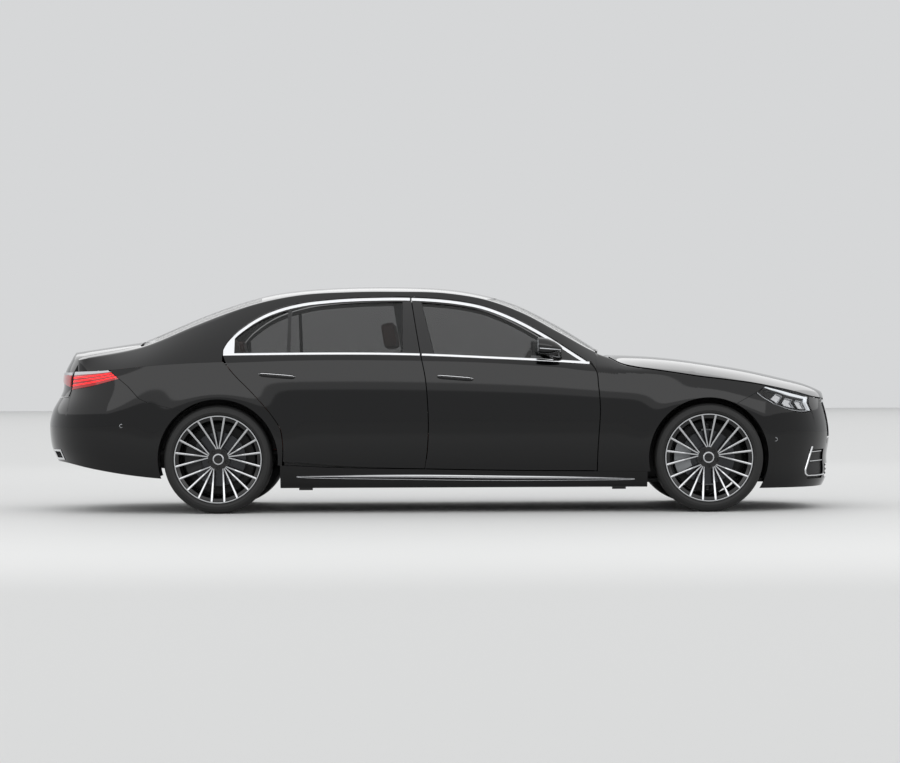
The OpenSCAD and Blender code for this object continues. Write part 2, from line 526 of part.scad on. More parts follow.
// Side glass fills the openings of a door's frame
glass_play = 0.4;
module door_glass(grid, holes) for (h = holes) {
    window_row = len(door_rows);
    sub = [for (i = [h[0] : h[1]]) [for (j = [window_row : window_row + 2]) grid[i][j]
        + [i == h[0] ? -glass_play : i == h[1] ? glass_play : 0,
            j == window_row ? glass_play : j == window_row + 2 ? -glass_play : 0]]];
    color(tinted) panel([for (c = sub) [for (p = c) on_side(p, glass_inset)]],
        [for (c = sub) [for (p = c) on_side(p, glass_inset + glass_thickness)]]);
}
module front_door_glass_left() door_glass(front_grid, front_holes);
module front_door_glass_right() mirror([0, 1, 0]) front_door_glass_left();
module rear_door_glass_left() door_glass(rear_grid, rear_holes);
module rear_door_glass_right() mirror([0, 1, 0]) rear_door_glass_left();

// Door mirror on the front door's sail
mirror_x = sx(715);
mirror_z = hz(1082);
module mirror_left() color(dark) {
    foot_x = sx(800);
    foot_z = hz(1012);
    y = body_y(foot_x, foot_z) + 1.6;
    hull() {
        translate([foot_x - 20, y + 12, foot_z]) sphere(r = 12, $fn = 16);
        translate([mirror_x + 30, y + 60, mirror_z - 44]) sphere(r = 18, $fn = 16);
    }
    hull() {
        translate([mirror_x + 52, y + 58, mirror_z + 6]) sphere(r = 36, $fn = 20);
        translate([mirror_x + 44, y + 112, mirror_z + 10]) sphere(r = 38, $fn = 20);
        for (s = [44, 98]) translate([mirror_x - 50, y + s, mirror_z + 4]) rotate([0, -90, 0])
            cylinder(d = 118 - s * 0.08, h = 14, $fn = 28);
    }
}
module mirror_right() mirror([0, 1, 0]) mirror_left();

// Sill beam under the doors, with the jacking pads
jack_pad = [90, 56, 16];
jack_y = half_width - 157;
jack_stations = [sx(1180), sx(-880)];
sill_inner = half_width - 212;
strip_stations = [for (t = [0 : 1 / 12 : 1]) lerp(1278, -936, t)];
sill_front = sx(1362);
sill_rear = sx(-1044);
function sill_crown(x) = sill_top(x) + 62;
module sill() {
    stations = concat([sill_front], [for (s = strip_stations) sx(s)], [sill_rear]);
    ring = function(x) let (top = sill_top(x)) concat(
        [for (z = [sill_bottom, lerp(sill_bottom, top, 0.3), lerp(sill_bottom, top, 0.65), top])
            [x, body_y(x, max(z, sill_bottom + 4)) - (z == sill_bottom ? 14 : 0), z]],
        [[x, sill_inner + 42, top + 1], [x, sill_inner + 38, sill_crown(x)]]);
    color(paint) union() {
        panel([for (x = stations) ring(x)], [for (x = stations) [for (p = ring(x)) [x, sill_inner, p[2]]]]);
        for (x = jack_stations) translate([x - jack_pad[0] / 2, jack_y - jack_pad[1] / 2, sill_bottom - jack_pad[2]])
            cube(jack_pad);
    }
}
module sills() pair() sill();
// Bright strip along the sill
strip_line = [[-936, 240], [-114, 240], [431, 232], [1118, 222], [1278, 217]];
module sill_strip() {
    thick = function(s) 2 + 11 * pow(sin(180 * clamp((s + 936) / 2214, 0.02, 0.98)), 0.4);
    outer = [for (s = strip_stations) let (x = sx(s), z = line(strip_line, x), h = thick(s)) [for (k = [-1, -0.3, 0.2, 1])
        [x, body_y(x, z + k * h) + (abs(k) == 1 ? 1.2 : 9 * h / 13 + 1), z + k * h]]];
    color(chrome) panel(outer, [for (c = outer) [for (p = c) [p[0], body_y(p[0], p[2]) + 0.3, p[2]]]]);
}
module sill_strips() pair() sill_strip();

// Hinge pillars at the front of the cabin and posts between the doors, with the door hinge pins
pillar_outer = half_width - door_thickness - 22;
module pillar() {
    post_x = function(z) edge(middle_shut_line, z) - 74;
    color(dark) {
        foot = sill_crown(sx(962)) + 0.3;
        translate([sx(962), sill_inner, foot]) cube([118, pillar_outer - sill_inner, hz(940) - foot]);
        hinge_pins(front_hinge_x, pillar_outer - 1);
        post_rows = [sill_crown(sx(-200)) + 0.4, hz(560), hz(780), hz(960), hz(1053), hz(1072), hz(1200), hz(1320), hz(1392)];
        face = function(x, z) body_y(x, z) - (z > hz(1060) ? frame_thickness : door_thickness) - 10;
        grid = [for (z = post_rows) [for (d = [62, -62]) let (x = post_x(z) + d * (z > hz(1060) ? 0.8 : 1))
            [x, min(face(x, z), pillar_outer), z]]];
        panel(grid, [for (row = grid) [for (p = row) p - [0, rail_thickness, 0]]]);
        hinge_pins(rear_hinge_x, pillar_outer - 12);
    }
}
module pillars() pair() pillar();

// Front bumper: s runs from its rear edge to the centre line
lamp_columns = [0, 0.05, 0.1, 0.15, 0.2, 0.26, 0.32, 0.37, 0.43, 0.479];
lamp_bottom = [[0, 778], [0.1, 738], [0.18, 706], [0.25, 668], [0.39, 645], [0.479, 652]];
lamp_end = 0.479;
grille_edge = 0.7;
grille_foot = 470;
bumper_foot = hz(152);
function nose_s(s, z) = let (e = nose_f(nose_edge_x(z), z)) lerp(e, 1, s);
edge_run = 0.1;
function nose_at(s, z, depth = 0) = nose_point(nose_s(s, z), z, depth, min(1, s / edge_run));
function bonnet_foot(s) = let (z = hz(740), p = nose_at(s, z)) rail(p[0]) - shut_gap;
function bumper_top(s) = s <= lamp_end ? hz(curve(lamp_bottom, s)) - seam
    : s <= grille_edge ? bonnet_foot(s) : hz(grille_foot);
bumper_thickness = 12;
module front_bumper() {
    half = concat(lamp_columns, [lamp_end + 0.006, 0.54, 0.62, 0.66, grille_edge, grille_edge + 0.006, 0.78, 0.86,
        0.93, 1]);
    low = [bumper_foot, hz(205), hz(300), hz(400)];
    edge_rows = [hz(560), front_join[1], lerp(front_join[1], front_tip, 0.5), bumper_top(0)];
    rows = function(s) concat(low, [for (k = [0 : 3]) lerp(edge_rows[k],
        lerp(hz(400), bumper_top(s), [0.3, 0.6, 0.8, 1][k]), k == 3 ? 1 : min(1, s / 0.2))]);
    grid = concat([for (s = half) [for (z = rows(s)) nose_at(s, z)]],
        [for (k = [len(half) - 2 : -1 : 0]) [for (z = rows(half[k])) flip_y(nose_at(half[k], z))]]);
    back = concat([for (s = half) [for (z = rows(s)) nose_at(s, z, bumper_thickness)]],
        [for (k = [len(half) - 2 : -1 : 0]) [for (z = rows(half[k])) flip_y(nose_at(half[k], z, bumper_thickness))]]);
    last = len(half) - 1;
    vent = function(k, j) k >= 7 && k < 12 && j >= 1 && j < 3;
    intake = function(k, j) k >= 13 && j == 1;
    color(paint) panel(grid, back, function(i, j) let (k = i < last ? i : 2 * last - 1 - i)
        !(vent(k, j) || intake(k, j)));
}
// Grille with bright louvres, and dark inserts behind the lower intakes
grille_louvres = 3;
module grilles() {
    columns = [for (t = [0 : 1 / 10 : 1]) lerp(grille_edge + 0.026, 2 - grille_edge - 0.026, t)];
    at = function(s, z, depth) s <= 1 ? nose_at(s, z, depth) : flip_y(nose_at(2 - s, z, depth));
    top = function(s) bonnet_foot(s <= 1 ? s : 2 - s) - 4;
    foot = hz(grille_foot) + seam;
    rows = [0, 0.06, 0.28, 0.34, 0.56, 0.62, 0.92, 1];
    color(chrome) panel([for (s = columns) [for (t = rows) at(s, lerp(foot, top(s), t), t == 0.28 || t == 0.56 ? 4 : 2)]],
        [for (s = columns) [for (t = rows) at(s, lerp(foot, top(s), t), 26)]],
        function(i, j) i == 0 || i == len(columns) - 2 || j == 0 || j == 2 || j == 4 || j == 6);
    color(dark) {
        half = [0.653, 0.66, grille_edge, grille_edge + 0.006, 0.78, 0.86, 0.93];
        inner = concat(half, [1], [for (k = [len(half) - 1 : -1 : 0]) 2 - half[k]]);
        vent = [0.36, 0.37, 0.43, lamp_end, lamp_end + 0.006, 0.54, 0.62, 0.63];
        inside = bumper_thickness + seam + 1;
        panel([for (s = inner) [for (z = [hz(198), hz(307)]) at(s, z, inside)]],
            [for (s = inner) [for (z = [hz(198), hz(307)]) at(s, z, inside + 8)]]);
        pair() panel([for (s = vent) [for (z = [hz(198), hz(300), hz(407)]) at(s, z, inside)]],
            [for (s = vent) [for (z = [hz(198), hz(300), hz(407)]) at(s, z, inside + 8)]]);
    }
}
// Headlamps between the bumper and the bonnet
lamp_depth = 70;
module headlamp() {
    columns = [for (s = lamp_columns) s == 0 ? 0.001 : s == lamp_end ? lamp_end - 0.001 : s];
    under = function(s, z) rail(nose_at(s, z)[0]) - bonnet_drop - seam;
    top = function(s) under(s, under(s, under(s, hz(800))));
    z = function(s, t) let (low = hz(curve(lamp_bottom, s)) + seam) lerp(low, max(low + 4, top(s)), t);
    rows = [0, 0.35, 0.7, 1];
    color(tinted) panel([for (s = columns) [for (t = rows) nose_at(s, z(s, t))]],
        [for (s = columns) [for (t = rows) nose_at(s, z(s, t) - t * lid_thickness, lamp_depth)]]);
}
module headlamps() pair() headlamp();

// Rear bumper, tail lamps and the lamps on the lid
tail_columns = [0, 0.06, 0.12, 0.2, 0.28, 0.36, 0.44, 0.5, 0.523];
tail_lamp_bottom = [[0, 886], [0.21, 847], [0.517, 814], [0.8, 790]];
tail_split = 0.523;
lid_lamp_end = 0.75;
rear_foot = [[0, 231], [0.3, 290], [0.55, 328], [1, 330]];
function tail_s(s, z) = let (e = tail_f(tail_edge_x(z), z)) lerp(e, 1, s);
function tail_s_of_y(y, z) = let (e = tail_f(tail_edge_x(z), z),
        f = acos(pow(y / side(sx(-2420), z, 1), plan_power / 2)) / 90) (f - e) / (1 - e);
function tail_at(s, z, depth = 0) = tail_point(tail_s(s, z), z, depth, min(1, s / edge_run));
function rear_top(s) = s <= tail_split ? hz(curve(tail_lamp_bottom, s)) - seam : hz(lid_foot) - shut_gap;
tip_rows = [hz(348), hz(418)];
module rear_bumper() {
    half = concat(tail_columns, [tail_split + 0.008, 0.58, 0.66, 0.74, 0.82, 0.9, 1]);
    edge_rows = concat([hz(560)], seam_rows);
    shares = [0.25, 0.42, 0.56, 0.7, 0.82, 0.92, 1];
    rows = function(s) concat([hz(curve(rear_foot, s))], tip_rows, [for (k = [0 : 6])
        lerp(edge_rows[k], lerp(hz(418), rear_top(s), shares[k]), k == 6 ? 1 : min(1, s / 0.2))]);
    grid = concat([for (s = half) [for (z = rows(s)) tail_at(s, z)]],
        [for (k = [len(half) - 2 : -1 : 0]) [for (z = rows(half[k])) flip_y(tail_at(half[k], z))]]);
    back = concat([for (s = half) [for (z = rows(s)) tail_at(s, z, bumper_thickness)]],
        [for (k = [len(half) - 2 : -1 : 0]) [for (z = rows(half[k])) flip_y(tail_at(half[k], z, bumper_thickness))]]);
    last = len(half) - 1;
    color(paint) panel(grid, back, function(i, j) let (k = i < last ? i : 2 * last - 1 - i)
        !(j == 1 && k >= 10 && k < 12));
}
module exhaust_tip() {
    play = 0.004;
    columns = [0.58 + play, 0.6, 0.66, 0.72, 0.74 - play];
    rows = [tip_rows[0] + seam, tip_rows[0] + 14, tip_rows[1] - 14, tip_rows[1] - seam];
    color(chrome) panel([for (s = columns) [for (z = rows) tail_at(s, z, -4)]],
        [for (s = columns) [for (z = rows) tail_at(s, z, 40)]],
        function(i, j) i == 0 || i == 3 || j != 1);
}
module exhaust_tips() pair() exhaust_tip();
module tail_lamp() {
    columns = [for (s = tail_columns) s == 0 ? 0.001 : s == tail_split ? tail_split - 0.004 : s];
    top = function(s) shoulder(tail_at(s, hz(935))[0]) - seam;
    z = function(s, t) lerp(hz(curve(tail_lamp_bottom, s)) + seam, top(s), t);
    // The inner end stands upright beside the lid
    lean = function(s, t) s * lerp(1, tail_s_of_y(lid_half + widen + shut_gap, top(s)) / tail_split, t);
    color([0.6, 0.02, 0.03]) panel([for (s = columns) [for (t = [0, 0.5, 1]) tail_at(lean(s, t), z(s, t))]],
        [for (s = columns) [for (t = [0, 0.5, 1]) let (p = tail_at(lean(s, t), z(s, t), lamp_depth * 0.6))
            [p[0], max(p[1], lid_half + widen + shut_gap), p[2]]]]);
}
module tail_lamps() pair() tail_lamp();
module boot_lid_lamp() {
    columns = [for (c = [0.985, 0.86, 0.6, 0.34]) c * (lid_y() - 2)];
    foot = function(y) hz(lerp(834, 880, (columns[0] - y) / (columns[0] - columns[3])));
    color([0.6, 0.02, 0.03]) panel(
        [for (y = columns) [for (z = [foot(y), hz(905), hz(930)]) [tail_x(y, z) - 6, y, z]]],
        [for (y = columns) [for (z = [foot(y), hz(905), hz(930)]) [tail_x(y, z) - 1.1, y, z]]]);
}
module boot_lid_lamps() pair() boot_lid_lamp();

// Floor, tunnel, nose tray and boot floor
floor_top = hz(235);
floor_bottom = hz(200);
tunnel_half = 100;
tunnel_top = floor_top + 140;
tray_half = 392;
tray_top = hz(202);
boot_half = half_width - 397;
boot_floor = hz(402);
module floor_pan() color(dark) {
    translate([sx(-1000), -sill_inner + 0.3, floor_bottom]) cube([sx(1240) - sx(-1000), 2 * sill_inner - 0.6,
        floor_top - floor_bottom]);
    translate([sx(-700), -tunnel_half, floor_top - 1]) cube([sx(1200) - sx(-700), 2 * tunnel_half,
        tunnel_top - floor_top + 1]);
    translate([sx(1239), -tray_half, tray_top - 24]) cube([sx(2480) - sx(1239), 2 * tray_half, 24]);
    translate([sx(1220), -tray_half, tray_top - 24]) cube([20, 2 * tray_half, floor_top - tray_top + 24]);
    translate([sx(-1020), -boot_half, floor_bottom]) cube([22, 2 * boot_half, boot_floor - floor_bottom]);
    translate([sx(-2440), -boot_half, boot_floor - 22]) cube([sx(-999) - sx(-2440), 2 * boot_half, 22]);
}
// Firewall, rear bulkhead and parcel shelf, with the lid and bonnet hinge posts
wall_half = half_width - 257;
module bulkheads() color(dark) {
    translate([sx(1212), -wall_half, floor_top]) cube([20, 2 * wall_half, hz(930) - floor_top]);
    translate([sx(-1560), -boot_half, boot_floor]) cube([20, 2 * boot_half, hz(1000) - boot_floor + 1]);
    translate([sx(-1930), -600, hz(1000)]) cube([sx(-1540) - sx(-1930), 1200, 20]);
    pair() {
        bonnet_hinge_post();
        lid_hinge_post();
    }
}
module bonnet_hinge_post() {
    translate([bonnet_axis[0], bonnet_hinge_y, bonnet_axis[1]]) rotate([90, 0, 0])
        cylinder(d = hinge_pin, h = bonnet_lug_width + 16, center = true);
    translate([bonnet_axis[0] - 8, bonnet_hinge_y + bonnet_lug_width / 2 + 2, hz(900)])
        cube([16, 12, bonnet_axis[1] - hz(900) + 7]);
    translate([bonnet_axis[0] - 8, bonnet_hinge_y + bonnet_lug_width / 2 + 2, hz(890)])
        cube([sx(1214) - bonnet_axis[0] + 10, 12, 14]);
}
module lid_hinge_post() {
    axis = lid_axis;
    translate([axis[0], lid_hinge_y, axis[1]]) rotate([90, 0, 0])
        cylinder(d = lid_pin, h = lid_lug_width + 12, center = true);
    for (s = [-1, 1]) translate([axis[0] - 5, lid_hinge_y + s * (lid_lug_width / 2 + 5) - 3, hz(1010)])
        cube([10, 6, axis[1] - hz(1010) + lid_pin / 2]);
    translate([axis[0] - 5, lid_hinge_y - lid_lug_width / 2 - 8, hz(1000)])
        cube([sx(-1928) - axis[0] + 5, lid_lug_width + 16, 12]);
}

// Wheel houses over the four wheels
liner_thickness = 4;
liner_inner = 480;
liner_play = 0.5;
module wheel_liner(axle, inner_y, from_a, to_a, fender_from, fender_to) {
    inside = function(a) a > fender_from && a < fender_to ? skin + liner_play : bumper_thickness + 16;
    at = function(t, r) let (a = lerp(from_a, to_a, t), x = axle + r * cos(a), z = wheel_radius + r * sin(a))
        [[x, inner_y, z], [x, body_y(x, z) - inside(a), z]];
    panel([for (t = [0 : 1 / 14 : 1]) at(t, arch_radius + 2)],
        [for (t = [0 : 1 / 14 : 1]) at(t, arch_radius + 2 + liner_thickness)]);
}
module wheel_liners() color(dark) pair() {
    wheel_liner(front_axle, liner_inner, 20, 165, bumper_join + 4, 200);
    wheel_liner(rear_axle, 640, 15, 160, 0, rear_bumper_join - 4);
}

// Engine as one block with its cover
module engine() color(dark) {
    translate([sx(1330), -300, tray_top]) cube([sx(2120) - sx(1330), 600, 560]);
    translate([sx(1400), -230, tray_top + 560]) cube([sx(2060) - sx(1400), 460, 60]);
}

// Running gear
kingpin_y = wheel_y - kingpin_inset;
arm_height = 26;
arm_offset = 200;
eye_radius = kingpin_diameter / 2 + 12;
module arm_eye(z) difference() {
    union() {
        translate([front_axle, kingpin_y, z - arm_height / 2]) cylinder(r = eye_radius, h = arm_height);
        translate([front_axle - 19, 420, z - arm_height / 2]) cube([38, kingpin_y - 420, arm_height]);
    }
    translate([front_axle, kingpin_y, z - arm_height / 2 - 1])
        cylinder(d = kingpin_diameter + 2 * running_clearance, h = arm_height + 2);
}
module front_axle_side() {
    arm_eye(wheel_radius - arm_offset);
    arm_eye(wheel_radius + arm_offset);
    translate([front_axle - 40, 400, wheel_radius - arm_offset - 40]) cube([80, 60, 2 * arm_offset + 80]);
}
module front_axle() color(dark) {
    pair() front_axle_side();
    translate([front_axle - 45, -401, wheel_radius - arm_offset - 40]) cube([90, 802, tray_top - 24 - (wheel_radius - arm_offset - 40)]);
}
// Upright with steering pins, stub axle and brake caliper
disc_radius = disc_diameter / 2;
disc_faces = [-30, -2];
module upright(steered) {
    half = arm_offset - arm_height / 2 - 3;
    translate([-38, kingpin_y - wheel_y - 26, -half]) cube([76, 40, 2 * half]);
    if (steered) for (s = [-1, 1]) translate([0, kingpin_y - wheel_y, s * (half - 4)])
        mirror([0, 0, s < 0 ? 1 : 0]) cylinder(d = kingpin_diameter, h = arm_height + 12);
    rotate([90, 0, 0]) translate([0, 0, -58]) cylinder(d = stub_diameter, h = 58 - (kingpin_y - wheel_y));
    rotate([-90, 0, 0]) rotate([0, 0, 152]) rotate_extrude(angle = 56)
        polygon([[118, -70], [222, -70], [222, 24], [118, 24], [118, 3], [disc_radius + 7, 3],
            [disc_radius + 7, -35], [118, -35]]);
    translate([-150, kingpin_y - wheel_y - 26, -40]) cube([120, 18, 80]);
}
module knuckle_left() color(dark) translate([front_axle, wheel_y, wheel_radius]) upright(true);
module knuckle_right() mirror([0, 1, 0]) knuckle_left();
module rear_axle_side() {
    translate([rear_axle, wheel_y, wheel_radius]) upright(false);
    translate([rear_axle - 24, 400, wheel_radius - 130]) cube([48, kingpin_y - 20 - 400, 36]);
    translate([rear_axle - 24, boot_half + 12, wheel_radius + 110]) cube([48, kingpin_y - 20 - boot_half - 12, 36]);
    translate([rear_axle - 24, boot_half + 12, wheel_radius - 130]) cube([48, 44, 276]);
}
module rear_axle() color(dark) {
    pair() rear_axle_side();
    translate([rear_axle - 90, -402, wheel_radius - 160]) cube([180, 804, boot_floor - 22 - wheel_radius + 160]);
}

// Wheel: barrel, fans of spokes, hub and brake disc, about the wheel's own centre with its face towards +Y
flange = rim_diameter / 2;
seat_radius = flange - 22;
edge_face = rim_width / 2;
hub_radius = 76;
bolt_circle = 112;
bolt_count = 5;
function polar(r, a) = [r * sin(a), -r * cos(a)];
function across(a, b, w0, w1) = let (d = (b - a) / norm(b - a), n = [-d[1], d[0]])
    [a - n * w0 / 2, b - n * w1 / 2, b + n * w1 / 2, a + n * w0 / 2];
module spokes() for (k = [0 : spoke_fans - 1]) let (a = k * 360 / spoke_fans, step = 360 / spoke_fans / 4)
    for (s = [-1.5, -0.5, 0.5, 1.5])
        polygon(across(polar(58, a + s * 4), polar(seat_radius - 2, a + s * step), spoke_width * 0.8, spoke_width));
module barrel() rotate_extrude($fn = 96) polygon([[flange, edge_face], [flange, edge_face - 9],
    [seat_radius, edge_face - 12], [seat_radius, edge_face - 44], [seat_radius - 16, edge_face - 66],
    [seat_radius - 16, -edge_face + 62], [seat_radius, -edge_face + 44], [seat_radius, -edge_face + 12],
    [flange - 2, -edge_face + 9], [flange - 2, -edge_face], [seat_radius - 8, -edge_face],
    [seat_radius - 8, -edge_face + 40], [seat_radius - 24, -edge_face + 62], [seat_radius - 24, edge_face - 66],
    [seat_radius - 8, edge_face - 42], [seat_radius - 8, edge_face - 12], [flange - 12, edge_face - 3],
    [flange - 10, edge_face]]);
module spoke_disc() intersection() {
    linear_extrude(edge_face) spokes();
    rotate_extrude($fn = 96) polygon([[50, 36], [50, 66], [90, 68], [160, 80], [seat_radius - 4, edge_face - 8],
        [seat_radius - 4, edge_face - 40], [160, 52], [90, 36]]);
}
module hub() difference() {
    translate([0, 0, 10]) cylinder(r = hub_radius, h = 58);
    translate([0, 0, 9]) cylinder(d = stub_diameter + 2 * running_clearance, h = 51);
    for (k = [0 : bolt_count - 1]) rotate(k * 360 / bolt_count + 36) translate([0, -bolt_circle / 2, 40])
        cylinder(r = 11, h = 40);
}
module brake_disc() rotate_extrude($fn = 96) polygon([[stub_diameter / 2 + 3, 9.6], [98, 9.6], [98, disc_faces[1]],
    [disc_radius, disc_faces[1]], [disc_radius, disc_faces[0]], [90, disc_faces[0]], [90, 0],
    [stub_diameter / 2 + 3, 0]]);
module road_wheel() rotate([-90, 0, 0]) color(chrome) {
    union() {
        barrel();
        spoke_disc();
        hub();
    }
    brake_disc();
}
module tyre() rotate([-90, 0, 0]) color(dark) {
    w = tyre_width / 2;
    b = edge_face - 12.3;
    r = wheel_radius;
    s = seat_radius + 0.3;
    half = [[s, b - 28], [s, b], [flange + 0.3, b], [flange + 0.3, b + 4], [flange + 6, w - 8], [flange + 22, w],
        [r - 30, w - 2], [r - 14, w - 12], [r - 4, w - 26], [r, w - 44]];
    cave = [[s, b - 28], [flange - 4, b - 18], [flange + 20, w - 16], [r - 28, w - 18], [r - 16, w - 36]];
    rotate_extrude($fn = 96) polygon(concat(half, [for (i = [len(half) - 1 : -1 : 0]) [half[i][0], -half[i][1]]],
        [for (p = cave) if (p != cave[0]) [p[0], -p[1]]], [for (i = [len(cave) - 1 : -1 : 1]) cave[i]]));
}
module at_wheel(axle, s) translate([axle, s * wheel_y, wheel_radius]) mirror([0, s < 0 ? 1 : 0, 0]) children();
module front_wheel_left() at_wheel(front_axle, 1) road_wheel();
module front_wheel_right() at_wheel(front_axle, -1) road_wheel();
module rear_wheel_left() at_wheel(rear_axle, 1) road_wheel();
module rear_wheel_right() at_wheel(rear_axle, -1) road_wheel();
module front_tyre_left() at_wheel(front_axle, 1) tyre();
module front_tyre_right() at_wheel(front_axle, -1) tyre();
module rear_tyre_left() at_wheel(rear_axle, 1) tyre();
module rear_tyre_right() at_wheel(rear_axle, -1) tyre();

// Cabin
seat_y = 380 * body_width / drawn_width;
seat_span = seat_width * body_width / drawn_width;
function seat_z(z) = z * roof_height / drawn_roof;
front_seat_x = sx(60);
module lengthwise(width) translate([0, width / 2, 0]) rotate([90, 0, 0]) linear_extrude(width) children();
module front_seat() translate([front_seat_x, seat_y, floor_top]) color(leather) {
    lengthwise(seat_span) polygon([[-210, 60], [330, 110], [345, 150], [330, seat_height - 40], [280, seat_height - 10],
        [-150, seat_height - 70], [-220, 150]]);
    lengthwise(seat_span - 20) polygon([[-220.3, 150.2], [-150.4, seat_height - 69.6], [-165, seat_height - 30],
        [-330, seat_z(830)], [-400, seat_z(845)], [-445, seat_z(800)], [-330, 200]]);
    lengthwise(270) polygon([[-345, seat_z(860)], [-365, seat_z(1020)], [-420, seat_z(1030)], [-450, seat_z(1005)],
        [-430, seat_z(862)]]);
    for (y = [-60, 60]) translate([-395, y, seat_z(845) - 3]) cylinder(d = 14, h = seat_z(17) + 5);
    for (y = [60 - seat_span / 2, seat_span / 2 - 80]) translate([-180, y, 0]) cube([420, 24, 61 + 20]);
}
module front_seats() pair() front_seat();
module rear_seats() translate([sx(-1100), 0, floor_top]) color(leather) {
    step = boot_floor - floor_top;
    lengthwise(1240 + 2 * widen) polygon([[-60, step], [-60, 330], [330, seat_height + 10], [400, seat_height - 30], [400, 60],
        [340, 0], [112, 0], [112, step]]);
    lengthwise(1120 + 2 * widen) polygon([[-60.3, step + 0.3], [-60.3, seat_height + 4], [-230, seat_z(770)],
        [-330, seat_z(764)], [-400, seat_z(700)], [-420, seat_z(560)], [-380, 190]]);
    for (y = [-seat_y, seat_y]) translate([0, y, 0]) {
        lengthwise(270) polygon([[-245, seat_z(790)], [-255, seat_z(900)], [-300, seat_z(915)], [-335, seat_z(890)],
            [-325, seat_z(782)]]);
        for (s = [-50, 50]) translate([-285, s, seat_z(760)]) cylinder(d = 14, h = seat_z(30));
    }
}
module dashboard() color(dark) {
    difference() {
        union() {
            lengthwise(1340 + 2 * widen) polygon([[sx(1211.5), hz(560)], [sx(1211.5), hz(870)], [sx(1110), hz(885)],
                [sx(1000), hz(940)], [sx(820), hz(946)], [sx(740), hz(900)], [sx(760), hz(700)], [sx(900), hz(600)]]);
            lengthwise(2 * tunnel_half) polygon([[sx(-360), tunnel_top], [sx(-360), hz(620)], [sx(300), hz(640)],
                [sx(560), hz(680)], [sx(745), hz(780)], [sx(760), hz(700)], [sx(900), hz(600)], [sx(900), tunnel_top]]);
        }
        translate(wheel_centre) rotate([0, -90 + column_tilt, 0]) translate([0, 0, -column_length - 6])
            cylinder(d = column_diameter + 2 * running_clearance, h = column_length);
    }
}
column_length = 320;
column_diameter = 44;
column_tilt = 24;
wheel_centre = [sx(560), seat_y, hz(905)];
module steering_wheel() translate(wheel_centre) rotate([0, -90 + column_tilt, 0]) color(dark) {
    rim = steering_wheel_diameter / 2 - 16;
    rotate_extrude($fn = 64) translate([rim, 0]) circle(r = 16);
    translate([0, 0, -22]) cylinder(r = 75, h = 34);
    for (a = [0, 90, 270]) rotate(a + 180) translate([60, -22, -14]) cube([rim - 60 - 4, 44, 18]);
    translate([0, 0, -column_length]) cylinder(d = column_diameter, h = column_length - 20);
}

floor_pan();
bulkheads();
sills();
sill_strips();
pillars();
roof_rails();
quarter_panels();
front_fenders();
roof_panel();
windscreen();
rear_window();
front_bumper();
grilles();
headlamps();
rear_bumper();
tail_lamps();
exhaust_tips();
wheel_liners();
engine();
front_axle();
rear_axle();
dashboard();
front_seats();
rear_seats();
steering_wheel();
bonnet();
boot_lid();
boot_lid_lamps();
front_door_left();
front_door_right();
rear_door_left();
rear_door_right();
front_door_glass_left();
front_door_glass_right();
rear_door_glass_left();
rear_door_glass_right();
mirror_left();
mirror_right();
knuckle_left();
knuckle_right();
front_wheel_left();
front_wheel_right();
rear_wheel_left();
rear_wheel_right();
front_tyre_left();
front_tyre_right();
rear_tyre_left();
rear_tyre_right();
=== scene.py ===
"""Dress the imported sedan: smooth body panels, glass, lamps, bright trim, cabin and a plain studio."""

import logging
import math
from dataclasses import dataclass, field
from enum import Enum
from typing import Callable, Iterable, Optional, Sequence

import bmesh
import bpy
import numpy as np
from mathutils import Matrix, Vector


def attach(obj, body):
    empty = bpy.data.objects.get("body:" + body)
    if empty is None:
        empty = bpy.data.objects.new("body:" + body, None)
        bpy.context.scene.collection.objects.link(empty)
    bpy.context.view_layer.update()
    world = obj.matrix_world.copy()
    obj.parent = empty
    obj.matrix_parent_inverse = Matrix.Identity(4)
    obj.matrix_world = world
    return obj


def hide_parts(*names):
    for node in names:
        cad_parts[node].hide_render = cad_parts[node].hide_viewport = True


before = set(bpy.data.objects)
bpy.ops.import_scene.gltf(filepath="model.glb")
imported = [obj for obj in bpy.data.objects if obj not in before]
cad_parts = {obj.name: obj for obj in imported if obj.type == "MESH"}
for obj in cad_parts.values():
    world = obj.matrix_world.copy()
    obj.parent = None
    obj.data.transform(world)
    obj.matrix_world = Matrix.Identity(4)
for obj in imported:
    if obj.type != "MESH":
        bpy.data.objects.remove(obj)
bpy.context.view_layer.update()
LOG = logging.getLogger("sedan")
MM = 0.001
SIDES = {"left": 1.0, "right": -1.0}
SKIN_SHARP = math.radians(38)
SOLID_SHARP = math.radians(30)
ROLLED_SHARP = math.radians(52)
BELT_ROW, GLASS_ROW, FRAME_ROW = 6, 7, 9
Array = np.ndarray


def linear(code: str) -> tuple[float, float, float, float]:
    """Turn an sRGB hex code into linear light.

    Args:
        code: colour as #RRGGBB.

    Returns:
        Red, green, blue and an opaque alpha.
    """
    parts = [int(code[i:i + 2], 16) / 255 for i in (1, 3, 5)]
    light = [c / 12.92 if c <= 0.04045 else ((c + 0.055) / 1.055) ** 2.4 for c in parts]
    return (light[0], light[1], light[2], 1.0)


def add_node(tree: bpy.types.NodeTree, kind: str, settings: dict, links: dict) -> bpy.types.Node:
    """Add a shader node with its settings and incoming links.

    Args:
        tree: node tree that takes the node.
        kind: node type name.
        settings: socket name, or attribute name, to value.
        links: socket name to the output that feeds it.

    Returns:
        The new node.
    """
    made = tree.nodes.new(kind)
    for name, value in settings.items():
        if isinstance(name, int) or name in made.inputs:
            made.inputs[name].default_value = value
        else:
            setattr(made, name, value)
    for name, output in links.items():
        tree.links.new(output, made.inputs[name])
    return made


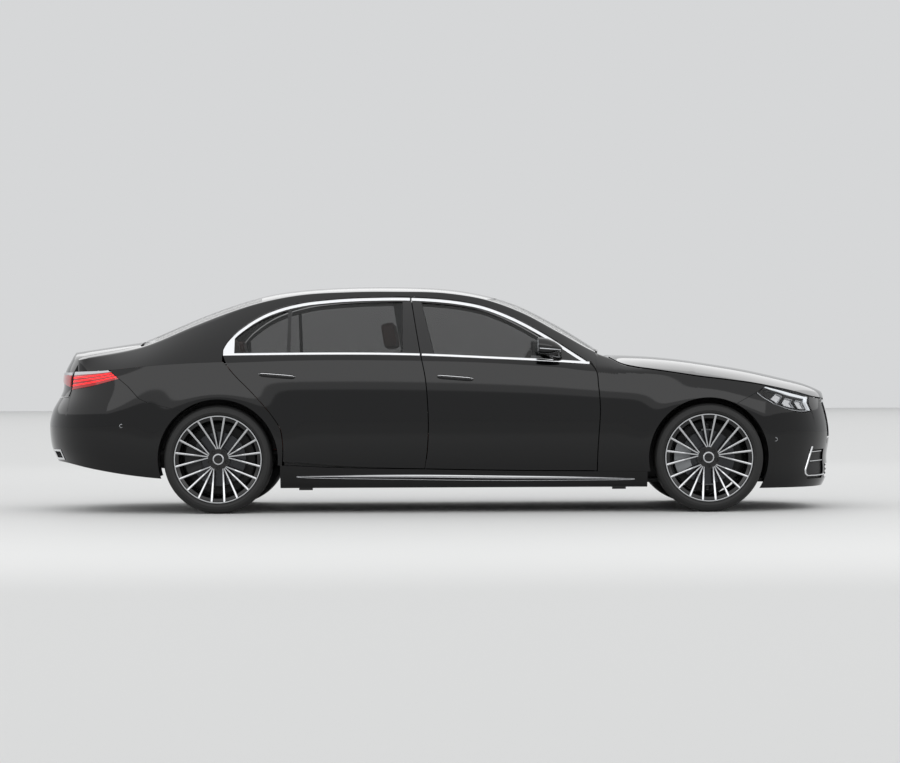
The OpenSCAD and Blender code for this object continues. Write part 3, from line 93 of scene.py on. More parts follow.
@dataclass(frozen=True)
class Finish:
    """One plain material, set by the values that give it its look."""

    name: str
    colour: str
    metallic: float = 0.0
    roughness: float = 0.5
    ior: float = 1.5
    coat: float = 0.0
    alpha: float = 1.0
    glow: float = 0.0
    grain_mm: float = 0.0
    grain_depth: float = 0.0

    def material(self) -> bpy.types.Material:
        """Return the Blender material, made on its first use."""
        known = bpy.data.materials.get(self.name)
        if known:
            return known
        made = bpy.data.materials.new(self.name)
        made.use_nodes = True
        shader = made.node_tree.nodes["Principled BSDF"]
        values = {"Base Color": linear(self.colour), "Metallic": self.metallic, "Roughness": self.roughness,
                  "IOR": self.ior, "Coat Weight": self.coat, "Coat Roughness": 0.03, "Alpha": self.alpha}
        if self.glow:
            values.update({"Emission Color": linear(self.colour), "Emission Strength": self.glow})
        for name, value in values.items():
            shader.inputs[name].default_value = value
        if self.grain_mm:
            self.add_grain(made.node_tree, shader)
        return made

    def add_grain(self, tree: bpy.types.NodeTree, shader: bpy.types.Node) -> None:
        """Raise a fine grain of the stated size on the surface."""
        where = add_node(tree, "ShaderNodeTexCoord", {}, {})
        noise = add_node(tree, "ShaderNodeTexNoise", {"Scale": 1000.0 / self.grain_mm, "Detail": 2.0},
                         {"Vector": where.outputs["Object"]})
        bump = add_node(tree, "ShaderNodeBump", {"Strength": 0.4, "Distance": self.grain_depth * MM},
                        {"Height": noise.outputs["Fac"]})
        tree.links.new(bump.outputs["Normal"], shader.inputs["Normal"])


@dataclass(frozen=True)
class WheelCasting(Finish):
    """Alloy wheel in black lacquer with the bare steel of the brake disc behind it."""

    steel: str = "#3C3D3F"
    axle: float = 0.0
    disc_radius: float = 182.0
    disc_face: float = 842.0

    def material(self) -> bpy.types.Material:
        """Return the two-tone material, split by place: the disc lies inboard and near the axle."""
        known = bpy.data.materials.get(self.name)
        if known:
            return known
        made = super().material()
        tree = made.node_tree
        shader = tree.nodes["Principled BSDF"]
        where = add_node(tree, "ShaderNodeTexCoord", {}, {})
        split = add_node(tree, "ShaderNodeSeparateXYZ", {}, {"Vector": where.outputs["Object"]})
        flat = add_node(tree, "ShaderNodeCombineXYZ", {"Y": FORM.wheel_radius * MM},
                        {"X": split.outputs["X"], "Z": split.outputs["Z"]})
        centre = (self.axle * MM, FORM.wheel_radius * MM, FORM.wheel_radius * MM)
        reach = add_node(tree, "ShaderNodeVectorMath", {"operation": "DISTANCE", 1: centre}, {0: flat.outputs[0]})
        near = add_node(tree, "ShaderNodeMath", {"operation": "LESS_THAN", 1: self.disc_radius * MM},
                        {0: reach.outputs["Value"]})
        side = add_node(tree, "ShaderNodeMath", {"operation": "ABSOLUTE"}, {0: split.outputs["Y"]})
        deep = add_node(tree, "ShaderNodeMath", {"operation": "LESS_THAN", 1: self.disc_face * MM},
                        {0: side.outputs[0]})
        disc = add_node(tree, "ShaderNodeMath", {"operation": "MULTIPLY"}, {0: near.outputs[0], 1: deep.outputs[0]})
        tint = add_node(tree, "ShaderNodeMix", {"data_type": "RGBA"}, {"Factor": disc.outputs[0]})
        tint.inputs[6].default_value = linear(self.colour)
        tint.inputs[7].default_value = linear(self.steel)
        tree.links.new(tint.outputs[2], shader.inputs["Base Color"])
        tree.links.new(disc.outputs[0], shader.inputs["Metallic"])
        return made


# Deep gloss black paint under clear lacquer: nearly all that the eye gets is the reflection
PAINT = Finish("gloss black paint under clear lacquer", "#030304", roughness=0.06, ior=1.42)
# Moulded glossy black trim, a touch greyer than the paint
PIANO_BLACK = Finish("gloss black moulded trim", "#0A0A0B", roughness=0.08)
# Bright nickel-chrome plating, a clear mirror
CHROME = Finish("polished chrome plate", "#E3E4E6", metallic=1.0, roughness=0.07)
# Satin silver edge of lamps and louvres
SATIN = Finish("satin aluminium trim", "#B9BBBE", metallic=1.0, roughness=0.28)
# Grey-green tint that lets the cabin show dimly
GLASS = Finish("tinted safety glass", "#0B0D0C", roughness=0.02, alpha=0.45, ior=1.5)
# The screens are a little clearer than the side glass
SCREEN_GLASS = Finish("tinted laminated glass", "#10130F", roughness=0.02, alpha=0.4, ior=1.5)
# Clear moulded lens, seen only by its reflection
LENS = Finish("clear polycarbonate lens", "#0C0E10", roughness=0.02, alpha=0.14, ior=1.58)
# Deep red that stays red unlit, under a glossy face
RED_LENS = Finish("red polycarbonate lens", "#B30A12", roughness=0.04, coat=0.6)
# Bars a little brighter than the lens round them
RED_GLOW = Finish("lit red lamp bar", "#FF1A1F", roughness=0.3, glow=1.6)
# White line of the headlamp, just brighter than white plastic
WHITE_BAR = Finish("white lamp guide", "#F2F6FA", roughness=0.2, glow=0.5)
# Dull black with a fine grain
DARK_PLASTIC = Finish("grained black plastic", "#141415", roughness=0.62, grain_mm=1.2, grain_depth=0.08)
# Dull dark sheet metal under the car
SATIN_STEEL = Finish("black painted steel", "#1A1B1C", roughness=0.5)
# Grey, rough sheen of castings
CAST = Finish("bare cast aluminium", "#8C8E90", metallic=1.0, roughness=0.45)
# Matt near-black
RUBBER = Finish("black tyre rubber", "#101010", roughness=0.62)
# Warm, softly shining hide with a fine grain
HIDE = Finish("red-brown nappa leather", "#5E2A1B", roughness=0.46, grain_mm=1.6, grain_depth=0.12)
# The same hide in black, for the dashboard, the steering wheel and the doors' inner faces
DARK_HIDE = Finish("black nappa leather", "#17130F", roughness=0.5, grain_mm=1.6, grain_depth=0.12)
# Sharp pale reflection
MIRROR = Finish("silvered mirror glass", "#D5DADD", metallic=1.0, roughness=0.02)
# Lathe-turned faces under clear lacquer, bright with a soft edge to the reflection
TURNED = Finish("turned alloy under lacquer", "#C4C5C7", metallic=1.0, roughness=0.2)


class Run(Enum):
    """How a curve passes through its points."""

    FLOWING = "even curvature throughout"
    LOCAL = "each point bends only its neighbours"
    STRAIGHT = "straight pieces"


class Curve:
    """Value along the car or up it, through given points and straight beyond the ends."""

    def __init__(self, points: Sequence[Sequence[float]], run: Run = Run.FLOWING) -> None:
        """Work out the slope at each point.

        Args:
            points: pairs of position and value, in order of position.
            run: how the curve passes through them.
        """
        data = np.array(points, float)
        self.at, self.value, self.run = data[:, 0], data[:, 1], run
        step = np.diff(self.at)
        chord = np.diff(self.value) / step
        count = len(self.at)
        if run is Run.FLOWING and count > 2:
            rows = np.zeros((count, count))
            right = np.zeros(count)
            rows[0, :2], right[0] = (2, 1), 3 * chord[0]
            rows[-1, -2:], right[-1] = (1, 2), 3 * chord[-1]
            for i in range(1, count - 1):
                rows[i, i - 1:i + 2] = 1 / step[i - 1], 2 / step[i - 1] + 2 / step[i], 1 / step[i]
                right[i] = 3 * (chord[i - 1] / step[i - 1] + chord[i] / step[i])
            self.slope = np.linalg.solve(rows, right)
        else:
            self.slope = np.concatenate([chord[:1], chord[-1:]]) if count == 2 else np.concatenate(
                [chord[:1], (step[1:] * chord[:-1] + step[:-1] * chord[1:]) / (step[1:] + step[:-1]), chord[-1:]])

    def __call__(self, x: Array | float) -> Array:
        """Value at x.

        Args:
            x: one position or an array of them.

        Returns:
            The curve's value at each.
        """
        x = np.asarray(x, float)
        i = np.clip(np.searchsorted(self.at, x, side="right") - 1, 0, len(self.at) - 2)
        h = self.at[i + 1] - self.at[i]
        a, b = self.value[i], self.value[i + 1]
        t = (x - self.at[i]) / h
        if self.run is Run.STRAIGHT:
            return a + (b - a) * t
        inside = np.clip(t, 0, 1)
        u = 1 - inside
        curve = (a * (1 + 2 * inside) * u * u + b * inside * inside * (3 - 2 * inside)
                 + h * (self.slope[i] * inside * u * u - self.slope[i + 1] * inside * inside * u))
        beyond = np.where(t < 0, t * h * self.slope[i], np.where(t > 1, (t - 1) * h * self.slope[i + 1], 0.0))
        return curve + beyond


def lerp(a: Array | float, b: Array | float, t: Array | float) -> Array:
    """Straight mix of two values."""
    return a + (b - a) * t


def points(x: Array, y: Array, z: Array) -> Array:
    """Stack three coordinate grids into one grid of points."""
    return np.stack(np.broadcast_arrays(x, y, z), axis=-1)


def pairs(x: Array, z: Array) -> Array:
    """Stack stations and heights into one run of pairs."""
    return np.stack([x, z], -1)


def row(first: float, last: float, count: int, endpoint: bool = True) -> Array:
    """Even steps that run across a grid."""
    return np.linspace(first, last, count, endpoint=endpoint)[None, :]


def column(first: float, last: float, count: int, endpoint: bool = True) -> Array:
    """Even steps that run down a grid."""
    return np.linspace(first, last, count, endpoint=endpoint)[:, None]


def along(x: float = 0.0, y: float = 0.0, z: float = 0.0) -> Array:
    """A shift along the axes."""
    return np.array([x, y, z], float)


def bend(value: Array, power: float) -> Array:
    """Raise the size of a value to a power and keep its sign."""
    return np.sign(value) * np.abs(value) ** power


def left_of(path: Array) -> Array:
    """Unit normals to the left of a path of pairs."""
    way = np.gradient(path, axis=0)
    way /= np.linalg.norm(way, axis=1, keepdims=True)
    return pairs(-way[:, 1], way[:, 0])


def fold(s: Array) -> Array:
    """Run from the near corner, for a run from 0 to 2 across the car."""
    return np.where(s <= 1, s, 2 - s)


@dataclass(frozen=True)
class BodyForm:
    """The form that all outer panels share, in millimetres in the car's own frame."""

    front_axle: float = 1765.0
    rear_axle: float = -1451.0
    wheel_radius: float = 356.0
    arch_radius: float = 394.0
    half_width: float = 957.0
    nose_start: float = 1700.0
    tail_start: float = -1450.0
    plan_power: float = 2.4
    nose_power: float = 3.0
    tail_power: float = 4.0
    waist: float = 600.0
    sill_bottom: float = 165.0
    shut_gap: float = 6.5
    seam: float = 0.6
    skin: float = 8.0
    rail_cap: float = 46.0
    rail_front: float = 1031.0
    bonnet_drop: float = 5.0
    front_tip: float = 778.0
    front_tip_x: float = 2078.0
    rear_tip: float = 705.0
    rear_tip_x: float = -1814.0
    roof: Curve = Curve([[-2030, 1125], [-1850, 1203], [-1660, 1284], [-1470, 1357], [-1300, 1412], [-1150, 1451],
                         [-950, 1480], [-750, 1495], [-440, 1503], [-135, 1498], [70, 1484], [245, 1457],
                         [395, 1421], [550, 1367], [700, 1293], [855, 1207], [1005, 1112], [1165, 1008]])
    deck: Curve = Curve([[-2490, 1066], [-2230, 1104], [-1990, 1139]])
    rail_line: Curve = Curve([[-2460, 1002], [-2335, 1023], [-1954, 1098], [-1610, 1238], [-1425, 1310],
                              [-1240, 1372], [-933, 1436], [-600, 1456], [-300, 1458], [70, 1444], [315, 1400],
                              [560, 1308], [805, 1174], [1060, 1038], [1113, 1019], [1201, 974], [1288, 953],
                              [1397, 937], [1550, 914], [1700, 891], [1900, 866], [2063, 843], [2193, 818],
                              [2350, 784], [2490, 749], [2610, 734]], Run.LOCAL)
    rail_width: Curve = Curve([[-2460, 640], [-2335, 668], [-1954, 700], [-1610, 668], [-1240, 628], [-933, 612],
                               [-300, 606], [70, 612], [315, 630], [560, 662], [805, 705], [1060, 762], [1113, 778],
                               [1201, 838], [1288, 868], [1397, 888], [1550, 902], [1700, 906]], Run.LOCAL)
    shoulder_line: Curve = Curve([[-2500, 936], [-2330, 939], [-2164, 945], [-1954, 966], [-1766, 981], [-1421, 995],
                                  [-780, 1006], [-120, 999], [431, 981], [734, 964], [1025, 940], [1357, 916],
                                  [1550, 902], [1700, 889]])
    belt: Curve = Curve([[-1428, 1040], [-782, 1043], [-120, 1034], [432, 1008], [674, 996], [985, 976]])
    window: Curve = Curve([[-1428, 1050], [-1408, 1095], [-1353, 1168], [-1274, 1235], [-1177, 1296], [-1056, 1346],
                           [-922, 1380], [-718, 1405], [-400, 1419], [-190, 1418], [0, 1407], [141, 1390],
                           [287, 1360], [480, 1286], [675, 1182], [918, 1024], [985, 980]], Run.LOCAL)
    door_bottom: Curve = Curve([[-1060, 322], [-715, 306], [-90, 292], [431, 281], [1040, 275], [1380, 272]])
    bonnet_centre: Curve = Curve([[1150, 1036], [1416, 1024], [1643, 1001], [1870, 967], [2097, 927], [2325, 875],
                                  [2495, 829], [2610, 780]])
    front_shut: Curve = Curve([[260, 1033], [385, 1036], [506, 1044], [675, 1054], [832, 1043], [935, 1026],
                               [985, 988], [1040, 985]], Run.LOCAL)
    middle_shut: Curve = Curve([[260, -99], [428, -78], [561, -72], [742, -78], [876, -90], [1033, -120],
                                [1410, -188]], Run.LOCAL)
    rear_shut: Curve = Curve([[260, -1031], [480, -1028], [551, -1040], [629, -1087], [720, -1160], [817, -1250],
                              [895, -1329], [967, -1389], [1045, -1424]], Run.LOCAL)
    nose_line: Curve = Curve([[140, 2592], [230, 2632], [330, 2630], [470, 2648], [590, 2642], [690, 2622],
                              [775, 2598], [830, 2575]])
    tail_line: Curve = Curve([[190, -2560], [328, -2592], [420, -2634], [500, -2648], [610, -2648], [660, -2636],
                              [815, -2558], [910, -2551], [1050, -2484]], Run.LOCAL)
    front_seam: Curve = Curve([[778, 2078], [828, 2152]], Run.STRAIGHT)
    rear_seam: Curve = Curve([[705, -1814], [729, -1911], [758, -1972], [837, -2044], [886, -2104], [932, -2164],
                              [960, -2200]], Run.STRAIGHT)
    edge_run: float = 0.1
    lid_half: float = 580.0
    lid_foot: float = 768.0
    bonnet_tuck: float = 28.0
    bumper_join: float = 63.0
    rear_bumper_join: float = 126.0

    def rail(self, x: Array) -> Array:
        """Height of the roof rail, and of the bonnet's edge ahead of it."""
        return self.rail_line(x)

    def shoulder(self, x: Array) -> Array:
        """Height of the shoulder line, merged with the bonnet's edge over the front wheel."""
        edge = self.rail(x)
        return np.where(np.asarray(x) >= self.nose_start, edge, np.minimum(self.shoulder_line(x), edge))

    def taper(self, x: Array, z: Array) -> Array:
        """Share of the width left at a station, towards the nose and the tail."""
        ahead = np.clip((x - self.nose_start) / (self.nose_line(z) - self.nose_start), 0, 1)
        behind = np.clip((self.tail_start - x) / (self.tail_start - self.tail_line(z)), 0, 1)
        power = 1 / self.plan_power
        return ((1 - ahead ** self.nose_power) ** power) * ((1 - behind ** self.tail_power) ** power)

    def side(self, x: Array, z: Array, share: Array) -> Array:
        """Half width below the shoulder for a given taper share."""
        top = self.shoulder(x)
        over = np.clip((z - self.waist) / (top - self.waist), 0, 2) ** 2.2 * 42
        under = np.clip((self.waist - z) / (self.waist - self.sill_bottom), 0, 2) ** 2.4 * 60
        flare = 0.0
        for axle in (self.front_axle, self.rear_axle):
            reach = np.hypot(x - axle, z - self.wheel_radius)
            flare = flare + 11 * np.exp(-((reach - self.arch_radius) / 110) ** 2)
        return share * (self.half_width - 8 * ((x - 120) / 1600) ** 2 - over - under + flare)

    def lower(self, x: Array, z: Array) -> Array:
        """Half width of the lower side."""
        return self.side(x, z, self.taper(x, z))

    def rail_y(self, x: Array) -> Array:
        """Half width over the roof rails."""
        return np.minimum(self.rail_width(x), self.lower(x, self.shoulder(x)) - 14)

    def body_y(self, x: Array, z: Array) -> Array:
        """Half width of the whole side, from the sill to the roof rail."""
        x, z = np.broadcast_arrays(np.asarray(x, float), np.asarray(z, float))
        s, r = self.shoulder(x), self.rail(x)
        low = self.lower(x, np.minimum(z, s))
        t = (z - s) / np.maximum(r - s, 1e-6)
        bulge = 36 * np.clip((r - s) / 450, 0, 1)
        up = lerp(self.lower(x, s), self.rail_y(x), t) + 4 * bulge * t * (1 - t)
        return np.where((z <= s) | (r - s < 4), low, up)

    def on_side(self, x: Array, z: Array, depth: Array | float = 0.0) -> Array:
        """Points on the car's left side, sunk by a depth."""
        return points(x, self.body_y(x, z) - depth, z)

    def crown(self, x: Array, y: Array, centre: Array) -> Array:
        """Height between the rails."""
        share = np.minimum(1, np.abs(y) / self.rail_y(x)) ** 2.4
        return centre - (centre - self.rail(x)) * share

    def roof_z(self, x: Array, y: Array) -> Array:
        """Height of the roof and the screens."""
        return self.crown(x, y, self.roof(x))

    def deck_z(self, x: Array, y: Array) -> Array:
        """Height of the boot lid's top."""
        return self.crown(x, y, self.deck(x))

    def cap_z(self, x: Array, y: Array) -> Array:
        """Height of the rail's inner edge, from the screen to the boot."""
        mix = np.clip((x + 2000) / 40, 0, 1)
        return lerp(self.deck_z(x, y), self.roof_z(x, y), mix)

    def arch_x(self, axle: float, z: Array, way: float) -> Array:
        """Station of an arch's edge at a height."""
        return axle + way * np.sqrt(np.maximum(0, self.arch_radius ** 2 - (z - self.wheel_radius) ** 2))

    def arch_point(self, axle: float, angle: Array) -> Array:
        """Point of an arch's edge, as station and height."""
        a = np.radians(angle)
        return np.stack([axle + self.arch_radius * np.cos(a), self.wheel_radius + self.arch_radius * np.sin(a)], -1)

    def nose_edge(self, z: Array) -> Array:
        """Rear edge of the front bumper and the headlamp."""
        z = np.asarray(z, float)
        joint = self.arch_point(self.front_axle, np.array(self.bumper_join))
        slant = lerp(joint[0], self.front_tip_x, (z - joint[1]) / (self.front_tip - joint[1]))
        return np.where(z < joint[1], self.arch_x(self.front_axle, z, 1),
                        np.where(z < self.front_tip, slant, self.front_seam(z)))

    def tail_edge(self, z: Array) -> Array:
        """Front edge of the rear bumper and the tail lamp."""
        z = np.asarray(z, float)
        joint = self.arch_point(self.rear_axle, np.array(self.rear_bumper_join))
        slant = lerp(joint[0], self.rear_tip_x, (z - joint[1]) / (self.rear_tip - joint[1]))
        return np.where(z < joint[1], self.arch_x(self.rear_axle, z, -1),
                        np.where(z < self.rear_tip, slant, self.rear_seam(z)))

    def nose_at(self, s: Array, z: Array, depth: float = 0.0) -> Array:
        """Point on the nose: s runs from the bumper's rear edge to the centre line."""
        s, z = np.broadcast_arrays(np.asarray(s, float), np.asarray(z, float))
        nose = self.nose_line(z)
        edge = np.clip((self.nose_edge(z) - self.nose_start) / (nose - self.nose_start), 0, 1)
        first = np.arcsin(edge ** (self.nose_power / 2)) / (math.pi / 2)
        a = lerp(first, 1.0, s) * math.pi / 2
        ease = np.minimum(1, s / self.edge_run)
        x = self.nose_start + (nose - depth * ease - self.nose_start) * np.sin(a) ** (2 / self.nose_power)
        share = np.maximum(np.cos(a), 0) ** (2 / self.plan_power)
        return points(x, self.side(np.minimum(x, nose), z, share) - depth * lerp(1, share, ease), z)

    def tail_at(self, s: Array, z: Array, depth: float = 0.0) -> Array:
        """Point on the tail: s runs from the bumper's front edge to the centre line."""
        s, z = np.broadcast_arrays(np.asarray(s, float), np.asarray(z, float))
        tail = self.tail_line(z)
        first = self.tail_first(z)
        a = lerp(first, 1.0, s) * math.pi / 2
        ease = np.minimum(1, s / self.edge_run)
        x = self.tail_start - (self.tail_start - tail - depth * ease) * np.sin(a) ** (2 / self.tail_power)
        share = np.maximum(np.cos(a), 0) ** (2 / self.plan_power)
        return points(x, self.side(x, z, share) - depth * lerp(1, share, ease), z)

    def nose_s_of_x(self, x: Array, z: Array) -> Array:
        """Run along the nose at which it has a given station."""
        span = self.nose_line(z) - self.nose_start
        turns = [np.arcsin(np.clip((at - self.nose_start) / span, 0, 1) ** (self.nose_power / 2)) / (math.pi / 2)
                 for at in (self.nose_edge(z), x)]
        return (turns[1] - turns[0]) / (1 - turns[0])

    def tail_s_of_x(self, x: Array, z: Array) -> Array:
        """Run along the tail at which it has a given station."""
        share = np.clip((self.tail_start - x) / (self.tail_start - self.tail_line(z)), 0, 1)
        first = self.tail_first(z)
        return (np.arcsin(share ** (self.tail_power / 2)) / (math.pi / 2) - first) / (1 - first)

    def tail_first(self, z: Array) -> Array:
        """Share of the tail's quarter turn that lies ahead of the bumper's edge."""
        edge = np.clip((self.tail_start - self.tail_edge(z)) / (self.tail_start - self.tail_line(z)), 0, 1)
        return np.arcsin(edge ** (self.tail_power / 2)) / (math.pi / 2)

    def tail_s_of_y(self, y: Array, z: Array) -> Array:
        """Run along the tail at which it has a given half width."""
        first = self.tail_first(z)
        turn = np.arccos((y / self.side(-2420.0, z, 1.0)) ** (self.plan_power / 2)) / (math.pi / 2)
        return (turn - first) / (1 - first)

    def tail_x(self, y: Array, z: Array) -> Array:
        """Station of the tail at a half width and height."""
        wide = self.side(-2300.0, z, 1.0)
        share = 1 - np.minimum(1, np.abs(y) / wide) ** self.plan_power
        return self.tail_start - (self.tail_start - self.tail_line(z)) * share ** (1 / self.tail_power)

    def sill_top(self, x: Array) -> Array:
        """Top of the sill under the doors."""
        return self.door_bottom(x) - self.shut_gap

    def bonnet_half(self, x: Array) -> Array:
        """Half width of the bonnet."""
        t = np.clip((1240 - x) / 68, 0, 1)
        return self.body_y(x, self.rail(x)) - 1 - self.bonnet_tuck * t * t * (3 - 2 * t)

    def cap(self, x: Array) -> Array:
        """Width of the rail's top: to the screens, and beside the boot lid in to the lid's edge."""
        return np.where(np.asarray(x) < -1980, self.rail_y(x) - self.lid_half - self.shut_gap, self.rail_cap)

    def bonnet_z(self, x: Array, share: Array) -> Array:
        """Height of the bonnet at a share of its half width."""
        c, e = self.bonnet_centre(x), self.rail(x) + self.shut_gap - self.bonnet_drop + 2.5
        return c - (c - e) * np.abs(share) ** 2.6


FORM = BodyForm()


def dense(controls: Sequence[float], step: float) -> tuple[Array, Array]:
    """Subdivide the stretches between control values.

    Args:
        controls: values in order.
        step: longest stretch to leave.

    Returns:
        The finer run as control indices, and the control stretch that each of its pieces lies in.
    """
    run, cells = [0.0], []
    for i in range(len(controls) - 1):
        parts = max(1, math.ceil(abs(controls[i + 1] - controls[i]) / step))
        run.extend(i + (k + 1) / parts for k in range(parts))
        cells.extend([i] * parts)
    return np.array(run), np.array(cells)


def at_index(controls: Sequence[float], run: Array) -> Array:
    """Read control values at fractional indices."""
    return np.interp(run, np.arange(len(controls)), controls)


class MeshBuilder:
    """Collects the points and faces of one piece, in millimetres."""

    def __init__(self) -> None:
        """Start with nothing."""
        self.points: list[Array] = []
        self.faces: list[tuple[int, ...]] = []
        self.finishes: list[int] = []
        self.count = 0

    def add(self, where: Array, faces: Iterable[Sequence[int]], finish: int = 0) -> None:
        """Add loose points and the faces between them."""
        base = self.count
        self.points.append(np.asarray(where, float).reshape(-1, 3))
        self.count += len(self.points[-1])
        for face in faces:
            self._face([base + k for k in face], finish)

    def panel(self, outer: Array, inner: Array, keep: Optional[Array] = None, finish: int | Array = 0,
              back: Optional[int] = None) -> None:
        """Add a closed panel between two grids of points.

        Args:
            outer: grid of points on the outside.
            inner: the same grid on the inside.
            keep: which cells are solid; all of them if left out.
            finish: finish index for the outside, one or one per cell.
            back: finish index for the inside, if it differs.
        """
        n, m = outer.shape[:2]
        keep = np.ones((n - 1, m - 1), bool) if keep is None else keep
        look = np.full((n - 1, m - 1), finish) if np.isscalar(finish) else finish
        top = self.count + np.arange(n * m).reshape(n, m)
        low = top + n * m
        self.points += [outer.reshape(-1, 3), inner.reshape(-1, 3)]
        self.count += 2 * n * m
        solid = np.pad(keep, 1)
        for i, j in zip(*np.nonzero(keep)):
            tone = int(look[i, j])
            self._face((top[i, j], top[i + 1, j], top[i + 1, j + 1], top[i, j + 1]), tone)
            self._face((low[i, j], low[i, j + 1], low[i + 1, j + 1], low[i + 1, j]), tone if back is None else back)
            if not solid[i, j + 1]:
                self._face((top[i, j], top[i, j + 1], low[i, j + 1], low[i, j]), tone)
            if not solid[i + 2, j + 1]:
                self._face((top[i + 1, j + 1], top[i + 1, j], low[i + 1, j], low[i + 1, j + 1]), tone)
            if not solid[i + 1, j]:
                self._face((top[i + 1, j], top[i, j], low[i, j], low[i + 1, j]), tone)
            if not solid[i + 1, j + 2]:
                self._face((top[i, j + 1], top[i + 1, j + 1], low[i + 1, j + 1], low[i, j + 1]), tone)

    def _face(self, corners: Sequence[int], finish: int) -> None:
        """Add one face."""
        self.faces.append(tuple(int(c) for c in corners))
        self.finishes.append(finish)

    def loft(self, rings: Array, finish: int = 0, capped: bool = True) -> None:
        """Add a closed skin through rings of points.

        Args:
            rings: grid of points, one closed ring a row.
            finish: finish index.
            capped: close both ends.
        """
        n, m = rings.shape[:2]
        faces: list[Sequence[int]] = [
            (i * m + j, i * m + (j + 1) % m, (i + 1) * m + (j + 1) % m, (i + 1) * m + j)
            for i in range(n - 1) for j in range(m)]
        if capped:
            faces += [tuple(range(m)), tuple((n - 1) * m + j for j in range(m))]
        self.add(rings, faces, finish)

    def box(self, low: Sequence[float], high: Sequence[float], finish: int = 0) -> None:
        """Add an upright box between two corners."""
        corners = np.array([[(low, high)[(k >> a) & 1][a] for a in range(3)] for k in range(8)])
        sides = [(0, 1, 3, 2), (4, 6, 7, 5), (0, 4, 5, 1), (2, 3, 7, 6), (0, 2, 6, 4), (1, 5, 7, 3)]
        self.add(corners, sides, finish)

    def rod(self, start: Sequence[float], end: Sequence[float], radius: float, finish: int = 0,
            sides: int = 24) -> None:
        """Add a round bar between two points."""
        a, b = Vector(start), Vector(end)
        turn = (b - a).to_track_quat("Z", "Y")
        ring = [turn @ Vector((radius * math.cos(t), radius * math.sin(t), 0))
                for t in np.linspace(0, 2 * math.pi, sides, endpoint=False)]
        self.loft(np.array([[tuple(p + r) for r in ring] for p in (a, b)]), finish)

    def mirrored(self) -> "MeshBuilder":
        """Add the same piece on the car's other side."""
        faces, finishes, count = list(self.faces), list(self.finishes), self.count
        self.points += [p * np.array([1, -1, 1]) for p in list(self.points)]
        self.count *= 2
        self.faces += [tuple(k + count for k in reversed(f)) for f in faces]
        self.finishes += finishes
        return self

    def flipped(self, side: float) -> "MeshBuilder":
        """Move the piece to the side given by the sign."""
        if side < 0:
            self.points = [p * np.array([1, -1, 1]) for p in self.points]
        return self

    def moved(self, shift: Array) -> "MeshBuilder":
        """Move the whole piece."""
        self.points = [p + shift for p in self.points]
        return self

    def build(self, name: str, finishes: Sequence[Finish], bevel: float = 0.0) -> bpy.types.Object:
        """Make the Blender object.

        Args:
            name: piece name.
            finishes: finishes by index.
            bevel: rounding of sharp edges, in millimetres.

        Returns:
            The object, linked into the scene.
        """
        mesh = bpy.data.meshes.new(name)
        mesh.from_pydata((np.concatenate(self.points) * MM).tolist(), [], self.faces)
        for finish in finishes:
            mesh.materials.append(finish.material())
        mesh.polygons.foreach_set("material_index", self.finishes)
        work = bmesh.new()
        work.from_mesh(mesh)
        bmesh.ops.delete(work, geom=[v for v in work.verts if not v.link_faces], context="VERTS")
        bmesh.ops.recalc_face_normals(work, faces=work.faces)
        work.to_mesh(mesh)
        work.free()
        mesh.polygons.foreach_set("use_smooth", [True] * len(mesh.polygons))
        mesh.set_sharp_from_angle(angle=SKIN_SHARP)
        made = bpy.data.objects.new(name, mesh)
        bpy.context.scene.collection.objects.link(made)
        if bevel:
            edge = made.modifiers.new("rolled edge", "BEVEL")
            edge.width, edge.segments = bevel * MM, 2
            edge.limit_method, edge.angle_limit = "ANGLE", ROLLED_SHARP
            edge.use_clamp_overlap, edge.harden_normals = True, True
        return made


def place(piece: bpy.types.Object, body: str, nodes: Sequence[str] = ()) -> None:
    """Tie a piece to its body and hide the nodes it stands for."""
    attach(piece, body)
    if nodes:
        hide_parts(*nodes)
    LOG.info("%s on %s: %d faces", piece.name, body, len(piece.data.polygons))


def dress(node: str, finish: Finish) -> None:
    """Give a CAD node a finish."""
    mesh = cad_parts[node].data
    mesh.materials.clear()
    mesh.materials.append(finish.material())
    mesh.polygons.foreach_set("use_smooth", [True] * len(mesh.polygons))
    mesh.set_sharp_from_angle(angle=SOLID_SHARP)


def trim(builder: MeshBuilder, path: Array, width: Array | float, proud: float, finish: int = 0,
         sink: float = 3.0, shift: float = 0.0) -> None:
    """Lay a crowned strip along a path on the car's side.

    Args:
        builder: piece that takes the strip.
        path: stations and heights along the strip's middle.
        width: its width, one or one per point.
        proud: how far its crown stands out.
        finish: finish index.
        sink: how far its back lies under the skin.
        shift: move of the whole strip outwards.
    """
    lanes = np.array([-1.0, -0.8, -0.3, 0.3, 0.8, 1.0])
    half = np.broadcast_to(np.asarray(width, float) / 2, (len(path),))
    grid = path[:, None, :] + left_of(path)[:, None, :] * (half[:, None] * lanes)[..., None]
    rise = proud * (1 - np.abs(lanes) ** 3) + shift
    out = FORM.on_side(grid[..., 0], grid[..., 1])
    builder.panel(out + rise[None, :, None] * along(y=1.0), out - along(y=sink), finish=finish)


